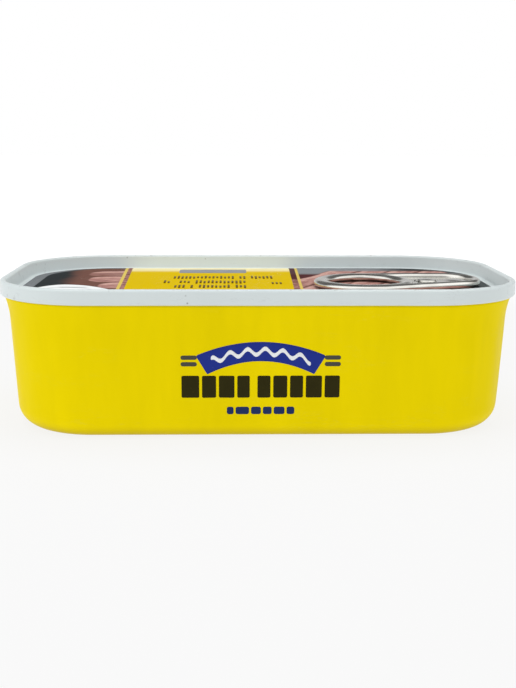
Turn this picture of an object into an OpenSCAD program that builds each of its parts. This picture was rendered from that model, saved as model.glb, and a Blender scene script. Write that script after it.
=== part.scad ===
// Rectangular easy-open fish can: a drawn body with a tapered wall, a seamed-on
// lid with a countersunk panel and its own rivet, and a ring-pull tab.
// The can is shut, so the body is solid up to the underside of the lid.
// Origin at the centre of the base, +X along the length, +Z up. Millimetres.

/* [Can] */
// Length over the seam
can_length = 105; // [90:0.5:126]
// Width over the seam
can_width = 60; // [50:0.5:80]
// Height from base to top of the seam
can_height = 30; // [22:0.5:45]
// Corner radius of the seam, seen from above
corner_radius = 19.5; // [17:0.5:23]

/* [Body wall] */
// How far the seam stands out past the wall below it
seam_overhang = 0.8; // [0.6:0.05:1]
// Lean of the wall from upright, in degrees
wall_draft = 3.3; // [1:0.1:5]
// Extra flare of the wall just under the seam
neck_flare = 0.7; // [0.2:0.05:1.2]
// Height over which the wall flares
neck_height = 5; // [3:0.25:7]
// Radius between wall and base
base_radius = 4.7; // [3:0.1:6]
// Width of the flat ring that the can stands on
foot_width = 2.5; // [1.5:0.1:4]
// Depth of the panel pressed up into the base
base_recess = 0.8; // [0.4:0.1:1.5]

/* [Seam and lid] */
// Height of the seam
seam_height = 3.1; // [2.6:0.05:3.8]
// Thickness of the seam at its crest
seam_thickness = 1.3; // [1.1:0.05:1.6]
// Rounding of the seam's crest
crest_radius = 0.55; // [0.3:0.05:0.55]
// Rounding of the seam's lower outer edge
hem_radius = 0.45; // [0.3:0.05:0.6]
// How far the inner wall leans in towards its foot
chuck_lean = 0.4; // [0.2:0.05:0.6]
// Depth of the lid's panel below the crest
panel_depth = 2.7; // [2.3:0.05:3.4]
// Width of the groove round the foot of the inner wall
groove_width = 1.2; // [1:0.05:1.6]
// Drop of the panel's border below its middle
border_drop = 0.2; // [0.1:0.05:0.35]
// Width of the panel's border
border_width = 2.4; // [1.5:0.1:6]
// Drop of the groove below the border
groove_drop = 0.25; // [0.1:0.05:0.35]
// Metal left under the groove
lid_floor = 0.4; // [0.25:0.05:0.6]

/* [Ring-pull tab] */
// Outer radius of the finger ring
ring_radius = 10.6; // [9.5:0.1:12.8]
// Radius of the finger hole
hole_radius = 7.6; // [6:0.1:7.8]
// Thickness of the ring
tab_thickness = 1.6; // [1.4:0.05:1.8]
// Diameter of the curled edge round the nose
nose_curl_diameter = 1.5; // [1.3:0.05:1.6]
// Diameter of the curled edge along the sides
side_curl_diameter = 1.4; // [1.2:0.05:1.5]
// Outer radius of the nose
nose_radius = 7.6; // [6.4:0.1:8]
// Distance from the ring's centre to the nose's centre
nose_reach = 17.6; // [17:0.1:20]
// Gap between the nose and the groove
nose_gap = 2.3; // [0.5:0.1:4]
// Turn of the tab about its rivet, in degrees
tab_turn = 9.5; // [0:0.5:15]
// Thickness of the flat web inside the nose
web_thickness = 0.5; // [0.3:0.05:0.6]
// Height of the web above the panel
web_height = 0.45; // [0.3:0.05:0.6]
// Gap between the tab's ring and the panel
tab_clearance = 0.1; // [0.05:0.05:0.2]

/* [Rivet] */
// Distance of the rivet from the can's middle line, towards the front
rivet_offset = 4.3; // [0:0.1:5]
// Distance from the nose's centre back to the rivet
rivet_setback = 3.8; // [2.8:0.1:4.2]
// Radius of the rivet's shank
shank_radius = 1.5; // [1.2:0.1:1.7]
// Radius of the rivet's head
head_radius = 2.1; // [1.9:0.1:2.4]
// Thickness of the rivet's head
head_thickness = 0.45; // [0.3:0.05:0.5]
// Clearance round the shank in the tab's hole
shank_clearance = 0.1; // [0.05:0.01:0.2]
// Radius of the raised seat under the tab
seat_radius = 2.2; // [2:0.1:2.4]
// Width of the slot cut round the rivet's tongue
slot_width = 0.5; // [0.4:0.05:0.6]

/* [Hidden] */
$fn = 96;

ARC_STEPS = 8;

// Angle by which the nose's curl runs on past its tangent points, into the sides
CURL_LAP = 4;

// Centres of the corner arcs, which every level of the can shares
corner_x = can_length / 2 - corner_radius;
corner_y = can_width / 2 - corner_radius;

// Levels
seam_z = can_height - seam_height;
panel_z = can_height - panel_depth;
border_z = panel_z - border_drop;
groove_z = border_z - groove_drop;
plug_z = groove_z - lid_floor;

// Radii about the corner centres: the wall, the seam's inside and the panel
wall_top_r = corner_radius - seam_overhang;
chuck_top_r = corner_radius - seam_thickness;
chuck_foot_r = chuck_top_r - chuck_lean;
plug_r = (chuck_foot_r + wall_top_r) / 2;
groove_in_r = chuck_foot_r - groove_width;
groove_fillet = groove_width / 2;
step_out_r = groove_in_r - border_width;
step_in_r = step_out_r - 2 * border_drop;

// Base: the arc that joins the flat foot to the leaning wall
wall_foot_r = wall_top_r - neck_flare - seam_z * tan(wall_draft);
base_arc_r = wall_foot_r + base_radius * tan(wall_draft) - base_radius / cos(wall_draft);
foot_in_r = base_arc_r - foot_width;
recess_r = foot_in_r - 2 * base_recess;

// Tab: lines that the curled edge follows, and where the rivet holds it
edge_r = tab_thickness / 2;
hole_line_r = hole_radius + edge_r;
ring_line_r = ring_radius - edge_r;
nose_curl_r = nose_curl_diameter / 2;
side_curl_r = side_curl_diameter / 2;
nose_line_r = nose_radius - nose_curl_r;
taper = asin((ring_line_r - nose_line_r) / nose_reach);
tab_z = panel_z + tab_clearance + edge_r;
web_z = panel_z + web_height;
rivet_x = corner_x + groove_in_r - nose_gap - nose_radius - rivet_setback;
rivet_along = nose_reach - rivet_setback;
slot_r = head_radius + slot_width;

// Points on an arc, from one angle to another
function arc(x, y, r, from, to) = [
    for (i = [0:ARC_STEPS])
        let (a = from + (to - from) * i / ARC_STEPS)
            [x + r * cos(a), y + r * sin(a)]
];

// Radius of the leaning wall at a height
function wall_r(z) = wall_foot_r + z * tan(wall_draft);

// The top of the wall, which flares out to meet the seam
function neck_points() = [
    for (i = [0:ARC_STEPS])
        let (s = i / ARC_STEPS, z = seam_z - neck_height * (1 - s))
            [wall_r(z) + neck_flare * s * s, z]
];

// Section of a curled edge, centred on the line that it follows
function curl_points(r) = [
    for (i = [0:2 * ARC_STEPS - 1])
        let (a = 180 * i / ARC_STEPS)
            r * [cos(a), sin(a)]
];

// Carries a profile of radius and height round the can's rounded rectangle and fills the middle
module carried_round(profile, low, high) {
    for (i = [0:3]) {
        along_x = i % 2 == 1;
        sx = i == 0 || i == 3 ? 1 : -1;
        sy = i < 2 ? 1 : -1;
        translate([sx * corner_x, sy * corner_y, 0])
            rotate([0, 0, 90 * i])
                rotate_extrude(angle = 90)
                    polygon(profile);
        rotate([0, 0, 90 * i])
            translate([along_x ? corner_y : corner_x, 0, 0])
                rotate([90, 0, 0])
                    linear_extrude(2 * (along_x ? corner_x : corner_y), center = true)
                        polygon(profile);
    }
    translate([-corner_x, -corner_y, low])
        cube([2 * corner_x, 2 * corner_y, high - low]);
}

// Drawn body, solid with its contents, with a pocket that takes the lid
module can_body() {
    profile = concat(
        [[0, base_recess], [recess_r, base_recess], [foot_in_r, 0]],
        arc(base_arc_r, base_radius, base_radius, -90, -wall_draft),
        neck_points(),
        [[plug_r, seam_z], [plug_r, plug_z], [0, plug_z]]
    );
    color("gold")
        carried_round(profile, base_recess, plug_z);
}

// Seam, inner wall, groove, border and panel of the lid in one sheet
module lid_pressing() {
    profile = concat(
        [[0, plug_z], [plug_r, plug_z], [plug_r, seam_z]],
        arc(corner_radius - hem_radius, seam_z + hem_radius, hem_radius, -90, 0),
        arc(corner_radius - crest_radius, can_height - crest_radius, crest_radius, 0, 90),
        arc(chuck_top_r + crest_radius, can_height - crest_radius, crest_radius, 90, 180),
        arc(chuck_foot_r - groove_fillet, groove_z + groove_fillet, groove_fillet, 0, -90),
        [[groove_in_r + groove_drop, groove_z], [groove_in_r, border_z]],
        [[step_out_r, border_z], [step_in_r, panel_z], [0, panel_z]]
    );
    carried_round(profile, plug_z, panel_z);
}

// Rivet drawn up out of the panel: a seat, a shank through the tab and a head
module rivet() {
    translate([rivet_x, -rivet_offset, panel_z]) {
        cylinder(r = seat_radius, h = web_height);
        cylinder(r = shank_radius, h = web_height + web_thickness);
        translate([0, 0, web_height + web_thickness])
            cylinder(r = head_radius, h = head_thickness);
    }
}

module lid() {
    color("gainsboro")
        union() {
            lid_pressing();
            rivet();
        }
}

// Band of the finger ring, rounded at both edges
module finger_ring() {
    profile = concat(
        arc(ring_line_r, 0, edge_r, -90, 90),
        arc(hole_line_r, 0, edge_r, 90, 270)
    );
    rotate_extrude()
        polygon(profile);
}

// Curled edge that leaves the ring at a tangent, runs round the nose and comes back
module nose_curl() {
    for (side = [0, 1])
        mirror([0, side, 0])
            rotate([0, 0, 90 - taper])
                translate([ring_line_r, 0, 0])
                    rotate([90, 0, 0])
                        linear_extrude(nose_reach * cos(taper))
                            polygon(curl_points(side_curl_r));
    translate([nose_reach, 0, 0])
        rotate([0, 0, taper - 90 - CURL_LAP])
            rotate_extrude(angle = 180 - 2 * taper + 2 * CURL_LAP)
                translate([nose_line_r, 0])
                    polygon(curl_points(nose_curl_r));
}

// Outline of the web: the nose and the two tangents back to the ring
module web_outline() {
    across = cos(taper);
    translate([nose_reach, 0])
        circle(r = nose_line_r);
    polygon([
        [0, 0],
        [ring_line_r * sin(taper), -ring_line_r * across],
        [nose_reach + nose_line_r * sin(taper), -nose_line_r * across],
        [nose_reach + nose_line_r * sin(taper), nose_line_r * across],
        [ring_line_r * sin(taper), ring_line_r * across]
    ]);
}

// Slot round three sides of the rivet, which leaves a tongue towards the nose
module tongue_slot() {
    difference() {
        circle(r = slot_r + slot_width / 2);
        circle(r = slot_r - slot_width / 2);
        translate([0, -slot_r - slot_width])
            square(2 * (slot_r + slot_width));
    }
}

module nose_web() {
    linear_extrude(web_thickness)
        difference() {
            web_outline();
            circle(r = (hole_line_r + ring_line_r) / 2);
            translate([rivet_along, 0]) {
                circle(r = shank_radius + shank_clearance);
                tongue_slot();
            }
        }
}

module pull_tab() {
    color("silver")
        translate([rivet_x, -rivet_offset, 0])
            rotate([0, 0, tab_turn])
                translate([-rivet_along, 0, 0]) {
                    translate([0, 0, tab_z]) {
                        finger_ring();
                        nose_curl();
                    }
                    translate([0, 0, web_z])
                        nose_web();
                }
}

can_body();
lid();
pull_tab();
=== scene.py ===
"""Looks of a shut rectangular fish can with a printed lid and a ring-pull tab.

Sizes are in millimetres and meshes are written in metres. Every surface is a
function of two parameters on a grid, worked out as whole numpy arrays. The can
stands on z = 0 with its length along X and its printed front towards -Y.
"""

from __future__ import annotations

import logging
import math
import sys
from dataclasses import dataclass, field
from enum import Enum
from typing import Any, Sequence

import bpy
import numpy as np
from mathutils import Matrix, Vector

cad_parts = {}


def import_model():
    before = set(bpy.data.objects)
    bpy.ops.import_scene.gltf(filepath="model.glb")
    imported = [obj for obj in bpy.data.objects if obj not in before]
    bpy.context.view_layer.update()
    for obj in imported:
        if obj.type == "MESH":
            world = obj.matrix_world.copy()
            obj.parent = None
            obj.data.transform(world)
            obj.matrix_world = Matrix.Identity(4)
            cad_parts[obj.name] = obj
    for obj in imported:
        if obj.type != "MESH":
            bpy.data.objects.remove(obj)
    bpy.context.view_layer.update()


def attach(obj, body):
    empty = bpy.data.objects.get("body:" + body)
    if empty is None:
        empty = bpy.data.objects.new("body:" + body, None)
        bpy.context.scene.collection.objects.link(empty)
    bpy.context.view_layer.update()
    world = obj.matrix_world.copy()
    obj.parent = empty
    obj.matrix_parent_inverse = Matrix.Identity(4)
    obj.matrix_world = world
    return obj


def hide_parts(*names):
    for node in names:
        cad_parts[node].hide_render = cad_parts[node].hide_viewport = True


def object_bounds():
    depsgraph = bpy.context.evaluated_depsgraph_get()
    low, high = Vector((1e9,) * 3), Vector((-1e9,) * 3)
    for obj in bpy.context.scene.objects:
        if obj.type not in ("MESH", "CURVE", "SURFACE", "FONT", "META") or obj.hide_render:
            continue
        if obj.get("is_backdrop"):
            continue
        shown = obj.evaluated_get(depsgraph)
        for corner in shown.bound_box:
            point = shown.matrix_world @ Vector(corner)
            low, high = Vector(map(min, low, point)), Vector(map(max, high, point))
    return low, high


LOG = logging.getLogger("fish_can")
MM = 0.001
NOISE_MIDDLE = 0.5
Colour = tuple[float, float, float]
Stretch = tuple[float, float, float]
Limits = tuple[float, float, float]
Span = tuple[float, float]


class Slot(Enum):
    """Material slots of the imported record."""

    BODY = "body"
    LID = "lid"
    TAB = "tab"


def linear(red: int, green: int, blue: int) -> Colour:
    """Turn a display colour of 0 to 255 into a shader's linear one, by the sRGB curve.

    Args:
        red: Red part.
        green: Green part.
        blue: Blue part.

    Returns:
        The linear colour, each part from 0 to 1.
    """
    parts = np.array([red, green, blue]) / 255.0
    low = parts / 12.92
    high = ((parts + 0.055) / 1.055) ** 2.4
    return tuple(float(p) for p in np.where(parts <= 0.04045, low, high))


def grey(level: float) -> Colour:
    """A neutral linear colour.

    Args:
        level: Its value in every part.

    Returns:
        The colour.
    """
    return (level, level, level)


def smooth(values: np.ndarray, low: float, high: float) -> np.ndarray:
    """Rise from 0 at low to 1 at high along 3t^2 - 2t^3.

    Args:
        values: Where to work it out.
        low: Where the rise starts.
        high: Where it ends.

    Returns:
        The share of the rise at each value.
    """
    t = np.clip((values - low) / (high - low), 0.0, 1.0)
    return t * t * (3.0 - 2.0 * t)


def arc(x: float, z: float, radius: float, start: float, end: float, steps: int) -> np.ndarray:
    """Points on a circle: centre plus radius times cosine and sine of an angle that runs evenly.

    Args:
        x: Centre, first coordinate.
        z: Centre, second coordinate.
        radius: Radius of the arc.
        start: First angle in degrees.
        end: Last angle in degrees.
        steps: Number of steps between them.

    Returns:
        An array of steps + 1 points.
    """
    angle = np.radians(np.linspace(start, end, steps + 1))
    return np.stack([x + radius * np.cos(angle), z + radius * np.sin(angle)], axis=1)


def line(start: Sequence[float], end: Sequence[float], steps: int) -> np.ndarray:
    """Evenly spaced points on a straight line, without its first point.

    Args:
        start: First end.
        end: Last end.
        steps: Number of steps.

    Returns:
        An array of steps points.
    """
    share = np.linspace(0.0, 1.0, steps + 1)[1:, None]
    return np.asarray(start) * (1.0 - share) + np.asarray(end) * share


# ---------------------------------------------------------------- meshes


@dataclass
class SurfaceMesh:
    """Grids of points, in millimetres, gathered into one mesh."""

    points: list[np.ndarray] = field(default_factory=list)
    faces: list[list[int]] = field(default_factory=list)
    face_slots: list[int] = field(default_factory=list)
    count: int = 0

    def add_points(self, points: np.ndarray) -> int:
        """Store points.

        Args:
            points: An array whose last axis is x, y, z.

        Returns:
            The number of the first of them.
        """
        flat = points.reshape(-1, 3)
        self.points.append(flat)
        first, self.count = self.count, self.count + len(flat)
        return first

    def add_faces(self, faces: np.ndarray, slot: int) -> None:
        """Store faces that share a material slot.

        Args:
            faces: Vertex numbers, one face to a row.
            slot: The material slot.
        """
        self.faces.extend(faces.tolist())
        self.face_slots.extend([slot] * len(faces))

    def add_grid(
        self,
        grid: np.ndarray,
        wrap_columns: bool = True,
        wrap_rows: bool = False,
        first_pole: Sequence[float] | None = None,
        last_pole: Sequence[float] | None = None,
        row_slots: np.ndarray | None = None,
    ) -> None:
        """Add a grid of points as quads, closed round its columns, its rows or at a pole.

        Columns run anticlockwise seen along the outward side's up, and rows run
        up the outside, so that column step x row step points outwards.

        Args:
            grid: Points of shape rows x columns x 3.
            wrap_columns: Whether the last column joins the first.
            wrap_rows: Whether the last row joins the first.
            first_pole: A point that closes the first row.
            last_pole: A point that closes the last row.
            row_slots: The material slot of each row of faces.
        """
        rows, columns = grid.shape[:2]
        index = self.add_points(grid) + np.arange(rows * columns).reshape(rows, columns)
        if wrap_columns:
            index = np.concatenate([index, index[:, :1]], axis=1)
        if wrap_rows:
            index = np.concatenate([index, index[:1]], axis=0)
        slots = np.zeros(len(index) - 1, int) if row_slots is None else row_slots
        for row, slot in enumerate(slots):
            low, high = index[row], index[row + 1]
            self.add_faces(np.stack([low[:-1], low[1:], high[1:], high[:-1]], axis=1), int(slot))
        if first_pole is not None:
            pole = np.full(index.shape[1] - 1, self.add_points(np.array([first_pole], float)))
            self.add_faces(np.stack([pole, index[0, 1:], index[0, :-1]], axis=1), int(slots[0]))
        if last_pole is not None:
            pole = np.full(index.shape[1] - 1, self.add_points(np.array([last_pole], float)))
            self.add_faces(np.stack([index[-1, :-1], index[-1, 1:], pole], axis=1), int(slots[-1]))

    def add_slab(self, top: np.ndarray, bottom: np.ndarray) -> None:
        """Add a thin closed slab between two grids of the same shape.

        Args:
            top: Points of the outer face, rows x columns x 3.
            bottom: Points of the inner face.
        """
        rows, columns = top.shape[:2]
        number = np.arange(rows * columns).reshape(rows, columns)
        over = self.add_points(top) + number
        under = self.add_points(bottom) + number
        for grid, turned in ((over, False), (under, True)):
            quads = np.stack([grid[:-1, :-1], grid[:-1, 1:], grid[1:, 1:], grid[1:, :-1]], axis=-1)
            quads = quads.reshape(-1, 4)
            self.add_faces(quads[:, ::-1] if turned else quads, 0)
        rim = np.concatenate([number[0, :-1], number[:-1, -1], number[-1, :0:-1], number[:0:-1, 0]])
        here, there = rim, np.roll(rim, -1)
        first_over, first_under = over[0, 0], under[0, 0]
        side = np.stack(
            [first_under + here, first_under + there, first_over + there, first_over + here], axis=1
        )
        self.add_faces(side, 0)

    def piece(self, name: str, materials: Sequence[bpy.types.Material]) -> bpy.types.Object:
        """Make the mesh and its object, smooth shaded, at the origin.

        Args:
            name: The object's name.
            materials: One material for each slot.

        Returns:
            The new object, linked to the scene.
        """
        mesh = bpy.data.meshes.new(name)
        mesh.from_pydata((np.concatenate(self.points) * MM).tolist(), [], self.faces)
        for material in materials:
            mesh.materials.append(material)
        mesh.polygons.foreach_set("material_index", np.array(self.face_slots, np.int32))
        mesh.polygons.foreach_set("use_smooth", np.ones(len(self.faces), bool))
        mesh.update()
        obj = bpy.data.objects.new(name, mesh)
        bpy.context.scene.collection.objects.link(obj)
        return obj


@dataclass(frozen=True)
class Plan:
    """The rounded rectangle that every level of the can follows, seen from above."""

    corner_x: float
    corner_y: float
    arc_steps: int = 40
    step: float = 0.7
    middle_radius: float = 17.0

    def columns(self) -> tuple[np.ndarray, np.ndarray, np.ndarray]:
        """Work out the anchors and outward directions round the plan, anticlockwise from +X.

        On a corner the anchor stays at the corner's centre and the direction turns;
        on a side the anchor moves and the direction stays.

        Returns:
            Anchors and directions as n x 2 arrays, and the distance along the plan.
        """
        centres = np.array([[1, 1], [-1, 1], [-1, -1], [1, -1]]) * [self.corner_x, self.corner_y]
        anchors, directions = [], []
        for quarter in range(4):
            here, there = centres[quarter], centres[(quarter + 1) % 4]
            turn = np.radians(np.linspace(90 * quarter, 90 * (quarter + 1), self.arc_steps + 1))
            anchors.append(np.repeat(here[None], len(turn), axis=0))
            directions.append(np.stack([np.cos(turn), np.sin(turn)], axis=1))
            count = max(2, round(float(np.abs(there - here).sum()) / self.step))
            anchors.append(line(here, there, count)[:-1])
            directions.append(np.repeat(directions[-1][-1:], count - 1, axis=0))
        anchor, direction = np.concatenate(anchors), np.concatenate(directions)
        middle = anchor + self.middle_radius * direction
        gap = np.linalg.norm(np.diff(middle, axis=0), axis=1)
        return anchor, direction, np.concatenate([[0.0], np.cumsum(gap)])

    def front_start(self) -> float:
        """Distance along the plan at which the front side starts, at its left end."""
        quarter = self.middle_radius * math.pi / 2
        return 3 * quarter + 2 * self.corner_x + 2 * self.corner_y

    def sweep(self, radius: np.ndarray, height: np.ndarray) -> np.ndarray:
        """Carry a profile round the plan: anchor plus radius times direction, at its height.

        Args:
            radius: Radius about the corner centres, of shape rows x 1 or rows x columns.
            height: Height, of the same shape.

        Returns:
            Points of shape rows x columns x 3.
        """
        anchor, direction, _ = self.columns()
        flat = anchor[None] + radius[..., None] * direction[None]
        tall = np.broadcast_to(height, flat.shape[:2])
        return np.concatenate([flat, tall[..., None]], axis=2)


@dataclass(frozen=True)
class CanSizes:
    """Driving sizes of the can, as its construction has them."""

    length: float
    width: float
    height: float
    corner_radius: float = 19.5
    seam_overhang: float = 0.8
    wall_draft: float = 3.3
    neck_flare: float = 0.7
    neck_height: float = 5.0
    base_radius: float = 4.7
    foot_width: float = 2.5
    base_recess: float = 0.8
    seam_height: float = 3.1
    seam_thickness: float = 1.3
    crest_radius: float = 0.55
    hem_radius: float = 0.45
    chuck_lean: float = 0.4
    panel_depth: float = 2.7
    groove_width: float = 1.2
    border_drop: float = 0.2
    border_width: float = 2.4
    groove_drop: float = 0.25
    lid_floor: float = 0.4

    @classmethod
    def from_frame(cls) -> CanSizes:
        """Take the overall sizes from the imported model."""
        low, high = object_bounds()
        span = (high - low) / MM
        return cls(length=span.x, width=span.y, height=span.z)

    @property
    def plan(self) -> Plan:
        """The can's plan."""
        return Plan(self.length / 2 - self.corner_radius, self.width / 2 - self.corner_radius)

    @property
    def seam_z(self) -> float:
        """Height of the seam's lower edge."""
        return self.height - self.seam_height

    @property
    def panel_z(self) -> float:
        """Height of the lid's panel."""
        return self.height - self.panel_depth

    @property
    def border_z(self) -> float:
        """Height of the panel's border."""
        return self.panel_z - self.border_drop

    @property
    def groove_z(self) -> float:
        """Height of the groove's floor."""
        return self.border_z - self.groove_drop

    @property
    def wall_top(self) -> float:
        """Radius of the wall where it meets the seam."""
        return self.corner_radius - self.seam_overhang

    @property
    def wall_foot(self) -> float:
        """Radius that the straight wall would have at the base."""
        lean = self.seam_z * math.tan(math.radians(self.wall_draft))
        return self.wall_top - self.neck_flare - lean

    @property
    def chuck_foot(self) -> float:
        """Radius of the inner wall at its foot."""
        return self.corner_radius - self.seam_thickness - self.chuck_lean

    @property
    def groove_inner(self) -> float:
        """Radius of the groove's inner edge."""
        return self.chuck_foot - self.groove_width

    @property
    def panel_edge(self) -> float:
        """Radius at which the raised panel starts."""
        return self.groove_inner - self.border_width - 2 * self.border_drop


# ---------------------------------------------------------------- shader tools


class Graph:
    """Short calls that add nodes to a shader tree and join them."""

    def __init__(self, tree: bpy.types.NodeTree) -> None:
        """Work on a tree.

        Args:
            tree: The shader node tree.
        """
        self.tree = tree

    def add(self, kind: str, **settings: Any) -> bpy.types.Node:
        """Add a node.

        Args:
            kind: The node's type name.
            **settings: Properties to set on it.

        Returns:
            The node.
        """
        node = self.tree.nodes.new(kind)
        for name, value in settings.items():
            setattr(node, name, value)
        return node

    def feed(self, target: bpy.types.NodeSocket, value: Any) -> None:
        """Join a socket to an input, or set the input's own value.

        Args:
            target: The input socket.
            value: An output socket, a number or a colour.
        """
        if isinstance(value, bpy.types.NodeSocket):
            self.tree.links.new(value, target)
        elif isinstance(value, tuple) and len(value) == 3 and target.type == "RGBA":
            target.default_value = (*value, 1.0)
        else:
            target.default_value = value

    def math(self, operation: str, *values: Any, clamp: bool = False) -> bpy.types.NodeSocket:
        """Do arithmetic on numbers.

        Args:
            operation: The Math node's operation.
            *values: Its inputs, as numbers or sockets.
            clamp: Whether the result is held from 0 to 1.

        Returns:
            The result's socket.
        """
        node = self.add("ShaderNodeMath", operation=operation, use_clamp=clamp)
        for target, value in zip(node.inputs, values):
            self.feed(target, value)
        return node.outputs[0]

    def total(self, *values: Any) -> bpy.types.NodeSocket:
        """Add several numbers, held from 0 to 1.

        Args:
            *values: Numbers or sockets.

        Returns:
            The sum's socket.
        """
        result = values[0]
        for value in values[1:]:
            result = self.math("ADD", result, value, clamp=True)
        return result

    def product(self, *values: Any) -> bpy.types.NodeSocket:
        """Multiply several numbers.

        Args:
            *values: Numbers or sockets.

        Returns:
            The product's socket.
        """
        result = values[0]
        for value in values[1:]:
            result = self.math("MULTIPLY", result, value)
        return result

    def scaled(self, vector: Any, x: float, y: float, z: float) -> bpy.types.NodeSocket:
        """Multiply a vector's parts.

        Args:
            vector: The vector's socket.
            x: Factor along X.
            y: Factor along Y.
            z: Factor along Z.

        Returns:
            The product's socket.
        """
        node = self.add("ShaderNodeVectorMath", operation="MULTIPLY")
        self.feed(node.inputs[0], vector)
        node.inputs[1].default_value = (x, y, z)
        return node.outputs[0]

    def millimetres(self) -> bpy.types.NodeSocket:
        """Object coordinates in millimetres."""
        return self.scaled(self.add("ShaderNodeTexCoord").outputs["Object"], 1000, 1000, 1000)

    def split(self, vector: bpy.types.NodeSocket) -> list[bpy.types.NodeSocket]:
        """Separate a vector into x, y and z.

        Args:
            vector: The vector's socket.

        Returns:
            Three sockets.
        """
        node = self.add("ShaderNodeSeparateXYZ")
        self.feed(node.inputs[0], vector)
        return list(node.outputs)

    def noise(
        self, vector: Any, scale: Any, detail: float = 2.0, roughness: float = 0.5, bend: float = 0.0
    ) -> bpy.types.NodeSocket:
        """Soft random values about 0.5.

        Args:
            vector: Where to read them.
            scale: Features to each unit of length.
            detail: Finer layers on top.
            roughness: Strength of the finer layers.
            bend: How far the pattern is distorted.

        Returns:
            The value's socket.
        """
        node = self.add("ShaderNodeTexNoise")
        self.feed(node.inputs["Vector"], vector)
        self.feed(node.inputs["Scale"], scale)
        node.inputs["Detail"].default_value = detail
        node.inputs["Roughness"].default_value = roughness
        node.inputs["Distortion"].default_value = bend
        return node.outputs[0]

    def rise(self, value: Any, low: Any, high: Any) -> bpy.types.NodeSocket:
        """Go smoothly from 0 at low to 1 at high.

        Args:
            value: The number that is read.
            low: Where it starts.
            high: Where it ends; below low, the result falls instead.

        Returns:
            The share's socket.
        """
        node = self.add("ShaderNodeMapRange", interpolation_type="SMOOTHSTEP")
        for name, number in (("Value", value), ("From Min", low), ("From Max", high)):
            self.feed(node.inputs[name], number)
        return node.outputs[0]

    def spread(self, value: Any, low: float, high: float) -> bpy.types.NodeSocket:
        """Go evenly from low at 0 to high at 1.

        Args:
            value: The number that is read.
            low: The result at 0.
            high: The result at 1.

        Returns:
            The result's socket.
        """
        return self.math("MULTIPLY_ADD", value, high - low, low)

    def between(self, value: Any, low: float, high: float, soft: float) -> bpy.types.NodeSocket:
        """Mask that is 1 between two values.

        Args:
            value: The number that is read.
            low: Lower limit.
            high: Upper limit.
            soft: Width of each soft edge.

        Returns:
            The mask's socket.
        """
        return self.product(
            self.rise(value, low - soft, low + soft), self.rise(value, high + soft, high - soft)
        )

    def mixed(self, share: Any, first: Any, second: Any, blend: str = "MIX") -> bpy.types.NodeSocket:
        """Mix two colours.

        Args:
            share: Share of the second.
            first: First colour or socket.
            second: Second colour or socket.
            blend: How the second is laid on the first.

        Returns:
            The mixed colour's socket.
        """
        node = self.add("ShaderNodeMix", data_type="RGBA", blend_type=blend)
        self.feed(node.inputs[0], share)
        self.feed(node.inputs[6], first)
        self.feed(node.inputs[7], second)
        return node.outputs[2]

    def laid(self, base: Any, over: Any, *shares: Any) -> bpy.types.NodeSocket:
        """Lay one colour over another.

        Args:
            base: The colour underneath.
            over: The colour on top.
            *shares: Shares whose product says how much of it shows.

        Returns:
            The colour's socket.
        """
        return self.mixed(self.product(*shares), base, over)

    def ramp(self, value: Any, stops: Sequence[tuple[float, Colour]]) -> bpy.types.NodeSocket:
        """Turn a number into a colour.

        Args:
            value: The number that is read.
            stops: Places from 0 to 1 with their colours.

        Returns:
            The colour's socket.
        """
        node = self.add("ShaderNodeValToRGB")
        elements = node.color_ramp.elements
        while len(elements) < len(stops):
            elements.new(1.0)
        for element, (place, colour) in zip(elements, stops):
            element.position = place
            element.color = (*colour, 1.0)
        self.feed(node.inputs[0], value)
        return node.outputs[0]

    def bump(self, height: Any, distance: float) -> bpy.types.NodeSocket:
        """Turn a height into a normal.

        Args:
            height: The height's socket.
            distance: Height of a full step, in millimetres.

        Returns:
            The normal's socket.
        """
        node = self.add("ShaderNodeBump")
        node.inputs["Strength"].default_value = 1.0
        node.inputs["Distance"].default_value = distance * MM
        self.feed(node.inputs["Height"], height)
        return node.outputs[0]

    def effect(self, group: bpy.types.NodeTree, **values: Any) -> list[bpy.types.NodeSocket]:
        """Place a shared effect.

        Args:
            group: The effect's node group.
            **values: Its inputs, with underscores for spaces.

        Returns:
            The group's output sockets.
        """
        node = self.add("ShaderNodeGroup", node_tree=group)
        for name, value in values.items():
            self.feed(node.inputs[name.replace("_", " ")], value)
        return list(node.outputs)


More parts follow.
